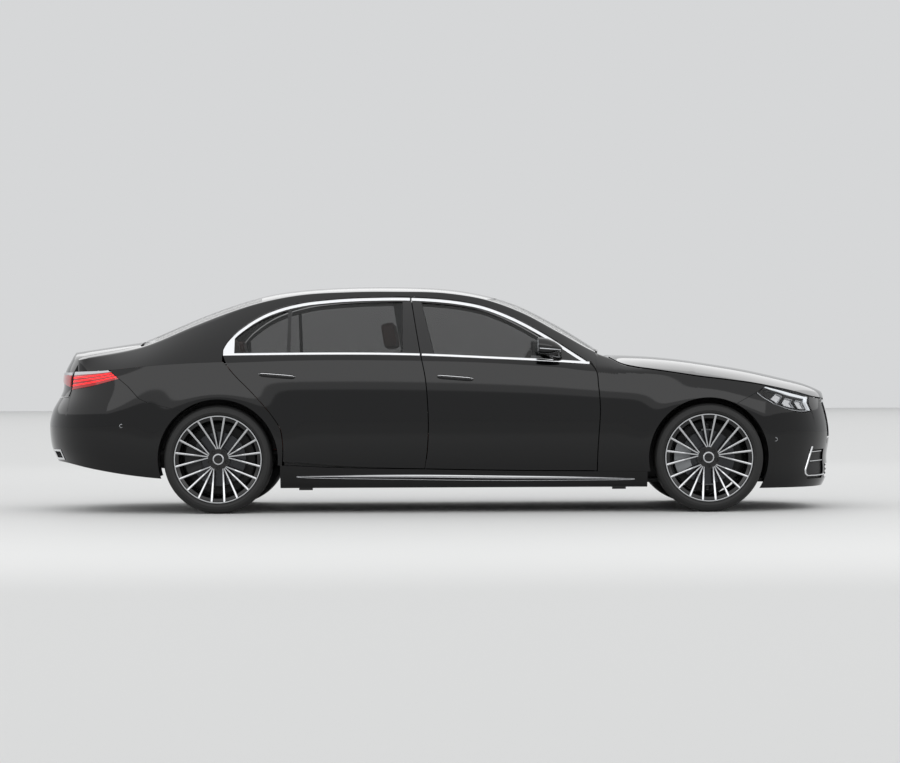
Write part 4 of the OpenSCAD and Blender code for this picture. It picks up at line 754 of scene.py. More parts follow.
@dataclass
class FixedPanels:
    """Fenders, quarters, rails, roof, screens, sills and their strips."""

    form: BodyForm = FORM
    rows: int = 26
    rail_thickness: float = 58.0
    glass: float = 5.0
    reveal: float = 3.5
    screen_foot: float = 1010.0
    screen_bow: float = 72.0
    front_liner: float = 480.0
    rear_liner: float = 640.0
    sill_back: float = 745.0
    strip_rear: float = -936.0
    strip_front: float = 1278.0

    def side_panel(self, inner: Array, outer: Array) -> MeshBuilder:
        """Skin between two edges given as stations and heights."""
        t = np.linspace(0, 1, self.rows)[None, :, None]
        grid = lerp(inner[:, None, :], outer[:, None, :], t)
        made = MeshBuilder()
        made.panel(self.form.on_side(grid[..., 0], grid[..., 1]),
                   self.form.on_side(grid[..., 0], grid[..., 1], self.form.skin))
        return made

    def fenders(self) -> None:
        """Front fenders, from the arch out to the bonnet, the screen pillar and the door."""
        f = self.form
        joint = f.arch_point(f.front_axle, np.array(f.bumper_join))
        foot_z = f.sill_top(f.front_axle - f.arch_radius) + f.seam
        foot = 180 + math.degrees(math.asin((f.wheel_radius - foot_z) / f.arch_radius))
        start = f.bumper_join + 0.1
        turn_x, door_z = 1945.0, 934.0
        a1, a2 = lerp(start, foot, 9 / 16), lerp(start, foot, 10 / 16)
        t = np.linspace(0, 1, 12, endpoint=False)
        z = lerp(f.front_tip, joint[1], t)
        inner = [pairs(f.nose_edge(z) - self.reveal, z)]
        x = lerp(float(f.nose_edge(np.array(824.0))) - 1, turn_x, t)
        outer = [pairs(x, f.rail(x) - f.bonnet_drop)]
        t = np.linspace(0, 1, 54, endpoint=False)
        inner.append(f.arch_point(f.front_axle, lerp(start, a1, t)))
        x = lerp(turn_x, f.rail_front + f.seam, t)
        outer.append(pairs(x, f.rail(x) - f.bonnet_drop))
        t = np.linspace(0, 1, 8, endpoint=False)
        inner.append(f.arch_point(f.front_axle, lerp(a1, a2, t)))
        high = float(f.rail(f.rail_front + f.seam)) - f.bonnet_drop
        outer.append(pairs(np.full_like(t, f.rail_front + f.seam), lerp(high, door_z, t)))
        t = np.linspace(0, 1, 36)
        inner.append(f.arch_point(f.front_axle, lerp(a2, foot, t)))
        z = lerp(door_z, float(f.sill_top(1033.0)) + f.seam, t)
        outer.append(pairs(f.front_shut(z) + f.shut_gap / 2, z))
        made = self.side_panel(np.concatenate(inner), np.concatenate(outer))
        place(made.mirrored().build("front_fenders_skin", [PAINT], 2.2), "shell", ["front_fenders"])

    def quarters(self) -> None:
        """Rear quarter panels, from the arch out to the door and the shoulder."""
        f = self.form
        foot_z = float(f.sill_top(f.rear_axle + f.arch_radius)) + f.seam
        foot = math.degrees(math.asin((foot_z - f.wheel_radius) / f.arch_radius))
        end = f.rear_bumper_join - 0.1
        turn_x = -1745.0
        a1 = lerp(foot, end, 8.5 / 13)
        t = np.linspace(0, 1, 36, endpoint=False)
        inner = [f.arch_point(f.rear_axle, lerp(foot, a1, t))]
        z = lerp(float(f.sill_top(-1040.0)) + f.seam, 985.0, t)
        outer = [pairs(f.rear_shut(z) - f.shut_gap / 2, z)]
        t = np.linspace(0, 1, 24, endpoint=False)
        inner.append(f.arch_point(f.rear_axle, lerp(a1, end, t)))
        x = lerp(-1416.0, turn_x, t)
        outer.append(pairs(x, f.shoulder(x) - f.seam / 2))
        joint = f.arch_point(f.rear_axle, np.array(end))
        rows = [joint[1], f.rear_tip, 729, 758, 837, 886, 932]
        run, _ = dense([0, 130, 230, 300, 410, 490, 560], 16)
        z = at_index(rows, run)
        inner.append(pairs(f.tail_edge(z) + self.reveal, z))
        x = lerp(turn_x, -2160.0, np.linspace(0, 1, len(run)))
        outer.append(pairs(x, f.shoulder(x) - f.seam / 2))
        made = self.side_panel(np.concatenate(inner), np.concatenate(outer)).mirrored()
        place(made.build("quarter_panels_skin", [PAINT], 1.6), "shell", ["quarter_panels"])

    def rail_foot(self, x: Array) -> Array:
        """Lower edge of the roof rail."""
        f = self.form
        front = lerp(float(f.window(985.0)) + 11, 936.0, np.clip((x - 997) / (f.rail_front - 997), 0, 1))
        return np.where(x < -1424, f.shoulder(x) + f.seam / 2,
                        np.where(x > 985, front, f.window(np.clip(x, -1424, 985)) + f.shut_gap))

    def rails(self) -> None:
        """Roof rails from the screen pillar over the doors and down to the tail."""
        f = self.form
        stops = [f.rail_front, 997, 984, 70, -933, -1350, -1423.5, -1424.5, -1966, -1986, -2400]
        run, _ = dense(stops, 14)
        x = at_index(stops, run)[:, None]
        t = row(0, 1, 15)
        foot, top, y = self.rail_foot(x), f.rail(x), f.rail_y(x)
        z = lerp(foot, top, t)
        side = f.on_side(x, z)
        cap = np.array([[0.25, 0.5, 0.75, 1.0]]) * f.cap(x)
        over = points(x, y - cap, f.cap_z(x, y - cap))
        inside = points(x, side[..., 1] - self.rail_thickness * (1 - t * 0.35), z - t * 14)
        under = points(x, y - lerp(f.cap(x) * 0.4, f.cap(x), cap / f.cap(x)), f.cap_z(x, y - cap) - 32)
        made = MeshBuilder()
        made.panel(np.concatenate([side, over], 1), np.concatenate([inside, under], 1))
        place(made.mirrored().build("roof_rails_skin", [PAINT], 1.6), "shell", ["roof_rails"])

    def between(self, name: str, first: float, last: float, bows: tuple[float, float], depth: float,
                finish: Finish) -> None:
        """Panel between the rails, from one cross line to another."""
        f = self.form
        r = column(first, last, 60)
        s = row(-1, 1, 61)
        x = r + lerp(bows[0], bows[1], (r - first) / (last - first)) * (1 - s * s)
        y = s * (f.rail_y(x) - f.rail_cap - f.seam)
        out = points(x, y, f.roof_z(x, y))
        made = MeshBuilder()
        made.panel(out, out - along(z=depth))
        place(made.build(name + "_skin", [finish], 0.8), "shell", [name])

    def sills(self) -> None:
        """Sills under the doors and the bright strips along them."""
        f = self.form
        x = column(1362, -1044, 120)
        top = f.sill_top(x)
        t = row(0, 1, 14)
        z = lerp(f.sill_bottom, top, t)
        out = f.on_side(x, np.maximum(z, f.sill_bottom + 4))
        out[..., 1] -= 14 * np.clip(1 - t / 0.12, 0, 1)
        out[..., 2] = z
        step = points(x, np.array([[787.0, 783.0]]), np.concatenate([top + 1, top + 62], 1))
        grid = np.concatenate([out, step], 1)
        back = grid.copy()
        back[..., 1] = self.sill_back
        made = MeshBuilder()
        made.panel(grid, back)
        for station in (1180.0, -880.0):
            made.box((station - 45, 772, 149), (station + 45, 828, 166))
        place(made.mirrored().build("sills_skin", [PAINT], 1.5), "shell", ["sills"])
        line = Curve([[-936, 240], [-114, 240], [431, 232], [1118, 222], [1278, 217]])
        x = np.linspace(self.strip_front, self.strip_rear, 140)
        share = (x - self.strip_rear) / (self.strip_front - self.strip_rear)
        half = 2 + 11 * np.sin(np.pi * np.clip(share, 0.02, 0.98)) ** 0.4
        made = MeshBuilder()
        trim(made, pairs(x, line(x) + 2), 2 * half - 5, 9.0, sink=-0.4, shift=0.8)
        fall = 21 * np.sin(np.pi * np.clip(share, 0.0, 1.0)) ** 0.6
        trim(made, pairs(x, line(x) - 2 - fall), 6.0, 4.0, sink=0.5, shift=1.2)
        place(made.mirrored().build("sill_strips_skin", [CHROME]), "shell", ["sill_strips"])

    def cowl(self) -> None:
        """Black trough between the windscreen's foot and the bonnet."""
        f = self.form
        s = column(-1, 1, 41)
        foot = self.screen_foot + self.screen_bow * (1 - s * s)
        y = s * (f.rail_y(foot) - f.rail_cap - f.seam)
        x = np.concatenate([foot - 5, foot - 12, foot - 8, np.full_like(s, 1160.0)], 1)
        glass = f.roof_z(foot, y) - 7
        z = np.concatenate([glass, glass - 70, np.full_like(s, 922.0), np.full_like(s, 908.0)], 1)
        out = points(x, y, z)
        made = MeshBuilder()
        made.panel(out, out - np.array([4.0, 0, 4.0]))
        place(made.build("cowl_trough", [DARK_PLASTIC]), "shell")

    def arch_walls(self) -> None:
        """Inner walls of the arch liners, above the suspension, and their ends behind the bumpers."""
        f = self.form
        made = MeshBuilder()
        reach = f.arch_radius + 2
        for axle, inner, low in ((f.front_axle, self.front_liner, 245.0), (f.rear_axle, self.rear_liner, 60.0)):
            x = column(-1, 1, 31) * math.sqrt(reach ** 2 - low ** 2) * 0.999
            z = lerp(low, np.sqrt(reach ** 2 - x ** 2), row(0, 1, 5))
            out = points(axle + x, np.full_like(x, inner + 3), f.wheel_radius + z)
            made.panel(out, out - along(y=3.0))
        for axle, inner, first, last in ((f.front_axle, self.front_liner, 56.0, -24.0),
                                         (f.rear_axle, self.rear_liner, 124.0, 196.0)):
            a = np.radians(np.linspace(first, last, 31))[:, None]
            reach = f.arch_radius + 7 + (30 * np.clip(0.34 - np.sin(a), 0, 1) if axle > 0 else 0)
            x, z = axle + reach * np.cos(a), f.wheel_radius + reach * np.sin(a)
            y = lerp(inner, f.lower(x, z) - 6, row(0, 1, 5))
            made.panel(points(x, y, z), points(x + 3 * np.cos(a), y, z + 3 * np.sin(a)))
        place(made.mirrored().build("arch_walls", [DARK_PLASTIC]), "shell")

    def build(self) -> None:
        """Make every fixed panel."""
        self.fenders()
        self.quarters()
        self.rails()
        bow = self.screen_bow
        self.between("windscreen", self.screen_foot, 320, (bow, bow), self.glass, SCREEN_GLASS)
        self.between("roof_panel", 319.4, -1179.4, (bow, -24), self.form.skin, PIANO_BLACK)
        self.between("rear_window", -1180, -1962, (-24, 0), self.glass, SCREEN_GLASS)
        self.sills()
        self.cowl()
        self.arch_walls()


@dataclass
class Lids:
    """Bonnet and boot lid."""

    form: BodyForm = FORM
    thickness: float = 24.0
    lip: float = 2.5
    bonnet_pin: tuple[float, float] = (1168.0, 968.0)
    lid_pin: tuple[float, float] = (-1984.0, 1102.0)
    brow: float = 1040.0

    def bonnet(self) -> None:
        """Bonnet with its thin outer lip and its hinge lugs."""
        f = self.form
        stops = [-1, -0.972, -0.955, -0.5, 0, 0.5, 0.955, 0.972, 1]
        run, _ = dense([v * 900 for v in stops], 32)
        s = at_index(stops, run)[None, :]
        r = np.concatenate([np.linspace(0, 0.8, 60, endpoint=False), np.linspace(0.8, 1, 28)])[:, None]
        x = lerp(1118 + 26 * (1 - s * s), 2602.0, r)
        y = s * f.bonnet_half(x)
        out = points(x, y, f.bonnet_z(x, s))
        deep = np.where((np.abs(s) > 0.96) | (r > 0.93), self.lip, self.thickness)
        made = MeshBuilder()
        made.panel(out, out - deep[..., None] * along(z=1.0), back=1)
        x, z = self.bonnet_pin
        for side in (-640.0, 640.0):
            made.rod((x, side - 13, z), (x, side + 13, z), 14, 1)
            made.box((x - 10, side - 13, z + 6), (x + 10, side + 13, z + 32), 1)
        place(made.build("bonnet_skin", [PAINT, SATIN_STEEL], 1.0), "bonnet", ["bonnet"])

    def lid_width(self) -> tuple[float, float]:
        """Half widths of the lid's front and rear."""
        return self.form.lid_half, self.form.lid_half - 2

    def boot_lid(self) -> None:
        """Boot lid: top, lip and rear face in one skin."""
        f = self.form
        front, rear = self.lid_width()
        c = row(-1, 1, 65)
        t = np.concatenate([np.linspace(0, 0.9, 26, endpoint=False), np.linspace(0.9, 1, 5)])[:, None]
        y = c * lerp(front, rear, t)
        x = lerp(-1992.0, f.tail_x(c * rear, self.brow) + 14, t)
        top = points(x, y, f.deck_z(x, y))
        y = c * rear
        lip = f.deck_z(f.tail_x(y, self.brow), y) - 14
        t = column(0, 1, 24)
        z = lerp(lip, f.lid_foot, t)
        back = points(f.tail_x(y, z), y, z)
        deep = self.thickness
        inner = np.concatenate([top + along(z=-deep), back + along(deep)])
        inner[len(top) - 1] = top[-1] + np.array([deep * 0.8, 0, -deep])
        inner[len(top), :, 2] -= 6
        made = MeshBuilder()
        made.panel(np.concatenate([top, back]), inner, back=1)
        x, z = self.lid_pin
        for side in (-430.0, 430.0):
            made.rod((x, side - 12, z), (x, side + 12, z), 9, 1)
            made.box((x - 30, side - 12, z - 6), (x, side + 12, z + 14), 1)
        place(made.build("boot_lid_skin", [PAINT, SATIN_STEEL], 2.0), "boot_lid", ["boot_lid"])

    def lid_lamps(self) -> None:
        """Lamps on the lid, carrying the tail lamps' line inwards."""
        f = self.form
        _, rear = self.lid_width()
        y = column(0.985, 0.34, 40) * rear
        foot = lerp(834.0, 880.0, (0.985 * rear - y) / (0.645 * rear))
        made = MeshBuilder()
        for low, high, out, tone in ((0.0, 0.8, 6.0, 0), (0.8, 1.0, 6.4, 1)):
            z = lerp(foot, 930.0, row(low, high, 8))
            skin = points(f.tail_x(y, z), y, z)
            made.panel(skin - along(out), skin + along(2.0), finish=tone)
        place(made.mirrored().build("boot_lid_lamps_skin", [RED_LENS, SATIN], 0.8), "boot_lid", ["boot_lid_lamps"])

    def build(self) -> None:
        """Make both lids."""
        self.bonnet()
        self.boot_lid()
        self.lid_lamps()


@dataclass(frozen=True)
class DoorPlan:
    """Where one door's columns, edges and windows lie."""

    name: str
    columns: tuple
    front: Curve
    rear: Curve
    holes: tuple
    front_flange: int
    rear_flange: int
    handle: tuple
    hinge_x: float


FRONT_DOOR = DoorPlan("front_door", ((991, 0), (955, 0), (897, 0), (893, 0), (803, 0), (690, 0), (570, 0), (450, 0),
                                     (330, -8), (200, -30), (80, -60), (-29, -97), (-88, -76), (-92, -74),
                                     (-117, -67)),
                      FORM.front_shut, FORM.middle_shut, ((4, 11),), 2, 13, (105.0, 884.0), 985.0)
REAR_DOOR = DoorPlan("rear_door", ((-123, -67), (-172, -34), (-222, -8), (-226, -6), (-238, -4), (-380, 0), (-530, 0),
                                   (-680, 0), (-830, 0), (-975, 0), (-998, 0), (-1100, 0), (-1200, 0), (-1290, 0),
                                   (-1350, 0), (-1396, 0), (-1421, 0)),
                     FORM.middle_shut, FORM.rear_shut, ((4, 9), (10, 14)), 2, 99, (-1062.0, 902.0), -140.0)


@dataclass
class Door:
    """One door with its glass, bright trim, handle and hinge lugs."""

    plan: DoorPlan
    side_name: str
    form: BodyForm = FORM
    rows: tuple = (0, 0.16, 0.36, 0.58, 0.78, 0.92, 1)
    thickness: float = 128.0
    frame_thickness: float = 42.0
    frame_height: float = 30.0
    belt_strip: float = 12.0
    glass_inset: float = 8.0
    glass: float = 5.0
    glass_play: float = 0.4
    hinge_y: float = 931.0
    hinge_heights: tuple[float, float] = (450.0, 715.0)
    hinge_length: float = 30.0
    mirror_ends: tuple[float, float] = (806.0, 648.0)
    mirror_out: float = 76.0
    handle_half: float = 119.0

    def __post_init__(self) -> None:
        """Lay out the fine grid of stations and heights."""
        f, plan = self.form, self.plan
        belt_x = [c[0] for c in plan.columns]
        self.u, self.u_cell = dense(belt_x, 16)
        self.xb = at_index(belt_x, self.u)[:, None]
        self.lean = at_index([c[1] for c in plan.columns], self.u)[:, None]
        self.w, self.w_cell = dense([0, 80, 170, 280, 380, 450, 500, 520, 640, 760, 790], 16)
        lower = self.w[self.w <= BELT_ROW]
        upper = self.w[self.w > BELT_ROW]
        belt = f.belt(self.xb)
        z = lerp(f.door_bottom(self.xb), belt, at_index(self.rows, lower)[None, :])
        low = pairs(self.column_x(z), z)
        x = self.xb + self.lean * np.interp(upper, [6, 7, 8, 9, 10], [0, 0.06, 0.5, 0.92, 1])[None, :]
        b = f.belt(x)
        top = np.maximum(f.window(x), b + 7)
        strip = b + np.minimum(self.belt_strip, (top - b) * 0.25)
        frame_low = top - np.minimum(self.frame_height, (top - b) * 0.4)
        share = upper[None, :]
        z = np.where(share <= GLASS_ROW, lerp(b, strip, share - BELT_ROW),
                     np.where(share <= FRAME_ROW, lerp(strip, frame_low, (share - GLASS_ROW) / 2),
                              lerp(frame_low, top, share - FRAME_ROW)))
        self.grid = np.concatenate([low, pairs(x, z)], 1)

    def column_x(self, z: Array) -> Array:
        """Station of each column below the belt at a height."""
        plan, gap = self.plan, self.form.shut_gap / 2
        belt_x = [c[0] for c in plan.columns]
        first, hinge, last = belt_x[0], belt_x[3], belt_x[-1]
        front = plan.front(z) - gap
        rear = plan.rear(z) + gap
        near = front - (first - self.xb)
        far = lerp(front - (first - hinge), rear, (hinge - self.xb) / (hinge - last))
        return np.where(self.xb >= hinge, near, far)

    @property
    def side(self) -> float:
        """Sign of the car's side."""
        return SIDES[self.side_name]

    @property
    def body(self) -> str:
        """Name of the body that the door rides on."""
        return f"{self.plan.name}_{self.side_name}"

    def hole_mask(self) -> Array:
        """Cells that the windows leave open."""
        glazed = (self.w_cell >= GLASS_ROW) & (self.w_cell < FRAME_ROW)
        open_cols = np.zeros(len(self.u_cell), bool)
        for first, last in self.plan.holes:
            open_cols |= (self.u_cell >= first) & (self.u_cell < last)
        return open_cols[:, None] & glazed[None, :]

    def panel(self) -> None:
        """Door skin, frame, bright edges, handle and lugs."""
        f, plan = self.form, self.plan
        x, z = self.grid[..., 0], self.grid[..., 1]
        flange = (self.u <= plan.front_flange) | (self.u >= plan.rear_flange)
        low_depth = np.where(flange, f.skin, self.thickness)[:, None]
        mix = np.clip(self.w - BELT_ROW, 0, 1)[None, :]
        depth = lerp(low_depth, self.frame_thickness, mix)
        look = np.zeros((len(self.u_cell), len(self.w_cell)), int)
        look[:, self.w_cell >= BELT_ROW] = 1
        made = MeshBuilder()
        made.panel(f.on_side(x, z), f.on_side(x, z, depth), ~self.hole_mask(), look, 2)
        self.bright_edges(made)
        self.handle(made)
        at, y = plan.hinge_x, self.hinge_y
        for foot in self.hinge_heights:
            head = foot + self.hinge_length
            made.rod((at, y, foot), (at, y, head), 13, 2)
            made.box((at - 44, y - 14, foot), (at, y + 6, head), 2)
        piece = made.flipped(self.side).build(self.body + "_skin", [PAINT, PIANO_BLACK, DARK_HIDE, CHROME], 1.8)
        place(piece, self.body, [self.body])

    def bright_edges(self, made: MeshBuilder) -> None:
        """Chrome line round the windows: over the frame, along the belt and at the rear corner."""
        f = self.form
        ends = (self.plan.columns[0], self.plan.columns[-1])
        rear_door = self.plan is REAR_DOOR
        front_x = ends[0][0] + ends[0][1] - (2 if rear_door else 26)
        rear_x = ends[1][0] + ends[1][1] + 2
        x = np.linspace(front_x, rear_x, 150)
        if rear_door:
            x = lerp(front_x, rear_x, 1 - (1 - np.linspace(0, 1, 150)) ** 2)
        edge = pairs(x, f.window(x))
        inward = left_of(edge)
        inward = np.where(inward[:, 1:] > 0, -inward, inward)
        trim(made, edge + inward * 10.5, 18.0, 3.0, 3)
        low = np.linspace(ends[0][0] - 4, ends[1][0] + 4, 120)
        trim(made, pairs(low, f.belt(low) + 4), 15.0, 3.0, 3)
        if rear_door:
            x = column(-1345, -1417, 30)
            t = row(0, 1, 20)
            z = lerp(f.belt(x) + 1, f.window(x) - 3, t)
            skin = f.on_side(x, z)
            made.panel(skin + along(y=2.2), skin - along(y=3.0), finish=3)

    def handle(self, made: MeshBuilder) -> None:
        """Flush pull handle with a bright upper edge."""
        f = self.form
        cx, cz = self.plan.handle
        long = self.handle_half
        x = np.linspace(cx + long, cx - long, 60)
        away = np.clip(np.abs(x - cx) / long, 0, 1)
        half = 15 * np.sqrt(np.clip(1 - away ** 8, 0.02, 1))
        slope = (cx - x) / long * 10
        trim(made, pairs(x, cz + slope), 2 * half, 8.0, 0, shift=1.0)
        trim(made, pairs(x, cz + slope + half * 0.62), np.maximum(half * 0.34, 1.0), 3.2, 3, shift=6.4)

    def panes(self) -> None:
        """Side glass in the frame's openings."""
        f = self.form
        made = MeshBuilder()
        rows = np.nonzero((self.w >= GLASS_ROW) & (self.w <= FRAME_ROW))[0]
        for first, last in self.plan.holes:
            cols = np.nonzero((self.u >= first) & (self.u <= last))[0]
            patch = self.grid[cols[0]:cols[-1] + 1, rows[0]:rows[-1] + 1].copy()
            patch[0, :, 0] -= self.glass_play
            patch[-1, :, 0] += self.glass_play
            patch[:, 0, 1] += self.glass_play
            patch[:, -1, 1] -= self.glass_play
            made.panel(f.on_side(patch[..., 0], patch[..., 1], self.glass_inset),
                       f.on_side(patch[..., 0], patch[..., 1], self.glass_inset + self.glass))
        name = f"{self.plan.name}_glass_{self.side_name}"
        place(made.flipped(self.side).build(name + "_pane", [GLASS]), self.body, [name])

    def mirror_swell(self, t: Array) -> Array:
        """Share of the mirror's full girth from its nose to its glass."""
        return np.sin(np.pi / 2 * np.clip(t * 1.25 + 0.015, 0, 1)) ** 0.7

    def mirror(self) -> None:
        """Door mirror: gloss shell, foot and silvered glass."""
        y0 = float(self.form.body_y(800.0, 1012.0)) + 1.6
        made = MeshBuilder()
        turn = row(0, 2 * math.pi, 56, endpoint=False)
        t = column(0, 1, 28)
        swell = self.mirror_swell(t)
        middle = y0 + self.mirror_out
        ring_y = middle + 78 * swell * bend(np.cos(turn), 0.75)
        rise = np.where(np.sin(turn) > 0, 60.0, 47.0)
        ring_z = 1072 + 16 * t + rise * swell * bend(np.sin(turn), 0.85)
        made.loft(points(lerp(*self.mirror_ends, t), ring_y, ring_z), 0)
        mid_z = 1088
        face = points(np.full((1, 56), self.mirror_ends[1] - 1), middle + 0.9 * (ring_y[-1:] - middle),
                      mid_z + 0.88 * (ring_z[-1:] - mid_z))
        made.loft(np.concatenate([face, face - along(1.2)]), 1)
        flash = column(0.06, 0.94, 30)
        lane = row(-1, 1, 4)
        out = points(lerp(*self.mirror_ends, flash), middle + 79 * self.mirror_swell(flash) * (1 - 0.01 * lane ** 2),
                     1064 + 12 * flash + 3.0 * lane)
        made.panel(out + along(y=0.6), out - along(y=5.0), finish=2)
        t = column(0, 1, 10)
        arm = points(lerp(782.0, 744.0, t) + lerp(26.0, 34.0, t) * np.cos(turn),
                     lerp(y0, y0 + 66, t) + 0 * turn,
                     lerp(1014.0, 1042.0, t) + lerp(10.0, 15.0, t) * np.sin(turn))
        made.loft(arm, 0)
        name = f"mirror_{self.side_name}"
        piece = made.flipped(self.side).build(name + "_shell", [PIANO_BLACK, MIRROR, SATIN], 1.2)
        place(piece, self.body, [name])

    def build(self) -> None:
        """Make the door and what it carries."""
        self.panel()
        self.panes()
        if self.plan is FRONT_DOOR:
            self.mirror()


@dataclass
class Ends:
    """Bumpers, grille, lamps and exhaust tips."""

    form: BodyForm = FORM
    thickness: float = 12.0
    lamp_end: float = 0.479
    lamp_back: float = 34.0
    grille_edge: float = 0.7
    grille_foot: float = 470.0
    tail_split: float = 0.523
    nose_length: float = 1300.0
    tail_length: float = 1500.0
    corner: float = 0.2
    lamp_low: Curve = field(default_factory=lambda: Curve(
        [[0, 778], [0.1, 738], [0.18, 706], [0.25, 668], [0.39, 645], [0.479, 652]], Run.LOCAL))
    tail_low: Curve = field(default_factory=lambda: Curve(
        [[0, 886], [0.21, 847], [0.517, 814], [0.8, 790]], Run.LOCAL))
    rear_foot: Curve = field(default_factory=lambda: Curve([[0, 231], [0.3, 290], [0.55, 328], [1, 330]], Run.LOCAL))

    def both(self, at: Callable, s: Array, z: Array, depth: float = 0.0) -> Array:
        """Grid over both halves of an end: s from 0 to 2 across the car."""
        made = at(fold(s), z, depth)
        made[..., 1] *= np.where(s <= 1, 1.0, -1.0)
        return made

    def layer(self, made: MeshBuilder, at: Callable, s: Array, z: Array, out: float, deep: float,
              finish: int = 0, keep: Optional[Array] = None, back: Optional[int] = None) -> None:
        """Add a panel between two depths under the skin of an end.

        Args:
            made: piece that takes the panel.
            at: form of that end.
            s: run across the car.
            z: heights.
            out: depth of its face.
            deep: depth of its back.
            finish: finish index.
            keep: which cells are solid.
            back: finish index for the inside, if it differs.
        """
        made.panel(self.both(at, s, z, out), self.both(at, s, z, deep), keep, finish, back)

    def span(self, stops: Sequence[float], length: float) -> tuple[Array, Array]:
        """Fine run across both halves of an end, and the stretch that each of its pieces lies in."""
        run, cell = dense([v * length for v in stops], 16)
        half = at_index(stops, run)
        return np.concatenate([half, 2 - half[-2::-1]])[:, None], np.concatenate([cell, cell[::-1]])

    def heights(self, z_rows: Sequence[Array], w: Array) -> Array:
        """Heights between rows of heights, at fractional row numbers."""
        rows = np.concatenate(z_rows, 1)
        low = np.minimum(w.astype(int), len(z_rows) - 2)
        return lerp(rows[:, low], rows[:, low + 1], (w - low)[None, :])

    def bonnet_foot(self, s: Array) -> Array:
        """Height just under the bonnet's front edge."""
        f = self.form
        return f.rail(f.nose_at(s, np.full_like(s, 740.0))[..., 0]) - f.shut_gap

    def bumper_top(self, s: Array) -> Array:
        """Upper edge of the front bumper."""
        return np.where(s <= self.lamp_end, self.lamp_low(s) - self.form.seam,
                        np.where(s <= self.grille_edge, self.bonnet_foot(s), self.grille_foot))

    def front_bumper(self) -> None:
        """Front bumper with its lower intake and corner vents."""
        f = self.form
        stops = [0, 0.1, 0.2, 0.37, self.lamp_end, self.lamp_end + 0.006, 0.62, 0.66, self.grille_edge,
                 self.grille_edge + 0.006, 1]
        s, cell = self.span(stops, self.nose_length)
        near = fold(s)
        joint = float(f.arch_point(f.front_axle, np.array(f.bumper_join))[1])
        edge = [152, 205, 300, 400, 560, joint, (joint + f.front_tip) / 2, f.front_tip - f.seam]
        w, w_cell = dense([152, 205, 300, 400, 500, 590, 640, 690], 16)
        top = self.bumper_top(near)
        shares = [0, 0, 0, 0, 0.3, 0.6, 0.8, 1]
        z_rows = []
        for k in range(8):
            inner = np.full_like(near, edge[k]) if k < 4 else lerp(400.0, top, shares[k])
            mix = 1.0 if k == 7 else np.minimum(1, near / self.corner)
            z_rows.append(lerp(edge[k], inner, mix))
        z = self.heights(z_rows, w)
        vent = np.isin(cell, (3, 4, 5))[:, None] & np.isin(w_cell, (1, 2))[None, :]
        intake = (cell >= 7)[:, None] & (w_cell == 1)[None, :]
        made = MeshBuilder()
        self.layer(made, f.nose_at, s, z, 0.0, self.thickness, 0, ~(vent | intake), 1)
        for side in (1.0, -1.0):
            self.sensor(made, f.nose_at(f.nose_s_of_x(2207.0, 472.0), 472.0), side)
        place(made.build("front_bumper_skin", [PAINT, DARK_PLASTIC, SATIN], 2.0), "shell", ["front_bumper"])

    def sensor(self, made: MeshBuilder, where: Array, side: float) -> None:
        """Round parking sensor, flush in a bumper."""
        x, y, z = (float(v) for v in where)
        made.rod((x, side * (y - 4), z), (x, side * (y + 1.2), z), 12.5, 2)
        made.rod((x, side * (y - 4), z), (x, side * (y + 1.8), z), 10.0, 0)

    def grille(self) -> None:
        """Bright frame and louvres of the grille, dark inserts below and the bright corner blades."""
        f = self.form
        made = MeshBuilder()
        s = column(self.grille_edge + 0.012, 2 - self.grille_edge - 0.012, 90)
        foot, top = self.grille_foot + f.seam, self.bonnet_foot(fold(s)) - 4
        for low, high, out in ((0.0, 0.05, 2.0), (0.27, 0.33, 4.0), (0.55, 0.61, 4.0), (0.94, 1.0, 2.0)):
            z = lerp(foot, top, row(low, high, 5))
            self.layer(made, f.nose_at, s, z, out, 22.0)
        for a, b in ((s[0, 0], s[0, 0] + 0.014), (s[-1, 0] - 0.014, s[-1, 0])):
            e = column(a, b, 5)
            z = lerp(foot, self.bonnet_foot(fold(e)) - 4, row(0.05, 0.94, 20))
            self.layer(made, f.nose_at, e, z, -7.0, 22.0)
        brow = self.both(f.nose_at, s, top + 1, 4.0)
        y = brow[..., 1]
        z = np.maximum(f.bonnet_z(2600.0, y / f.bonnet_half(2600.0)) - f.shut_gap - 2.5, brow[..., 2] + 0.5)
        brow = lerp(brow, points(np.full_like(y, 2598.0), y, z), np.linspace(0, 1, 6)[None, :, None])
        made.panel(brow, brow - along(6.0), finish=2)
        z = lerp(foot, top, row(0.02, 0.98, 12))
        self.layer(made, f.nose_at, s, z, 22.6, 26.0, 1)
        s = column(0.652, 1.348, 60)
        z = row(198, 307, 12)
        self.layer(made, f.nose_at, s, z, 14.0, 21.0, 1)
        for low in (226.0, 254.0, 282.0):
            z = row(low, low + 7, 4)
            self.layer(made, f.nose_at, s, z, 8.0, 16.0, 1)
        for flip in (False, True):
            run = column(0.36, 0.63, 30)
            run = 2 - run if flip else run
            z = row(198, 407, 20)
            self.layer(made, f.nose_at, run, z, 14.0, 21.0, 1)
            self.blades(made, flip)
        place(made.build("grilles_bright", [CHROME, DARK_PLASTIC, PAINT], 0.6), "shell", ["grilles"])

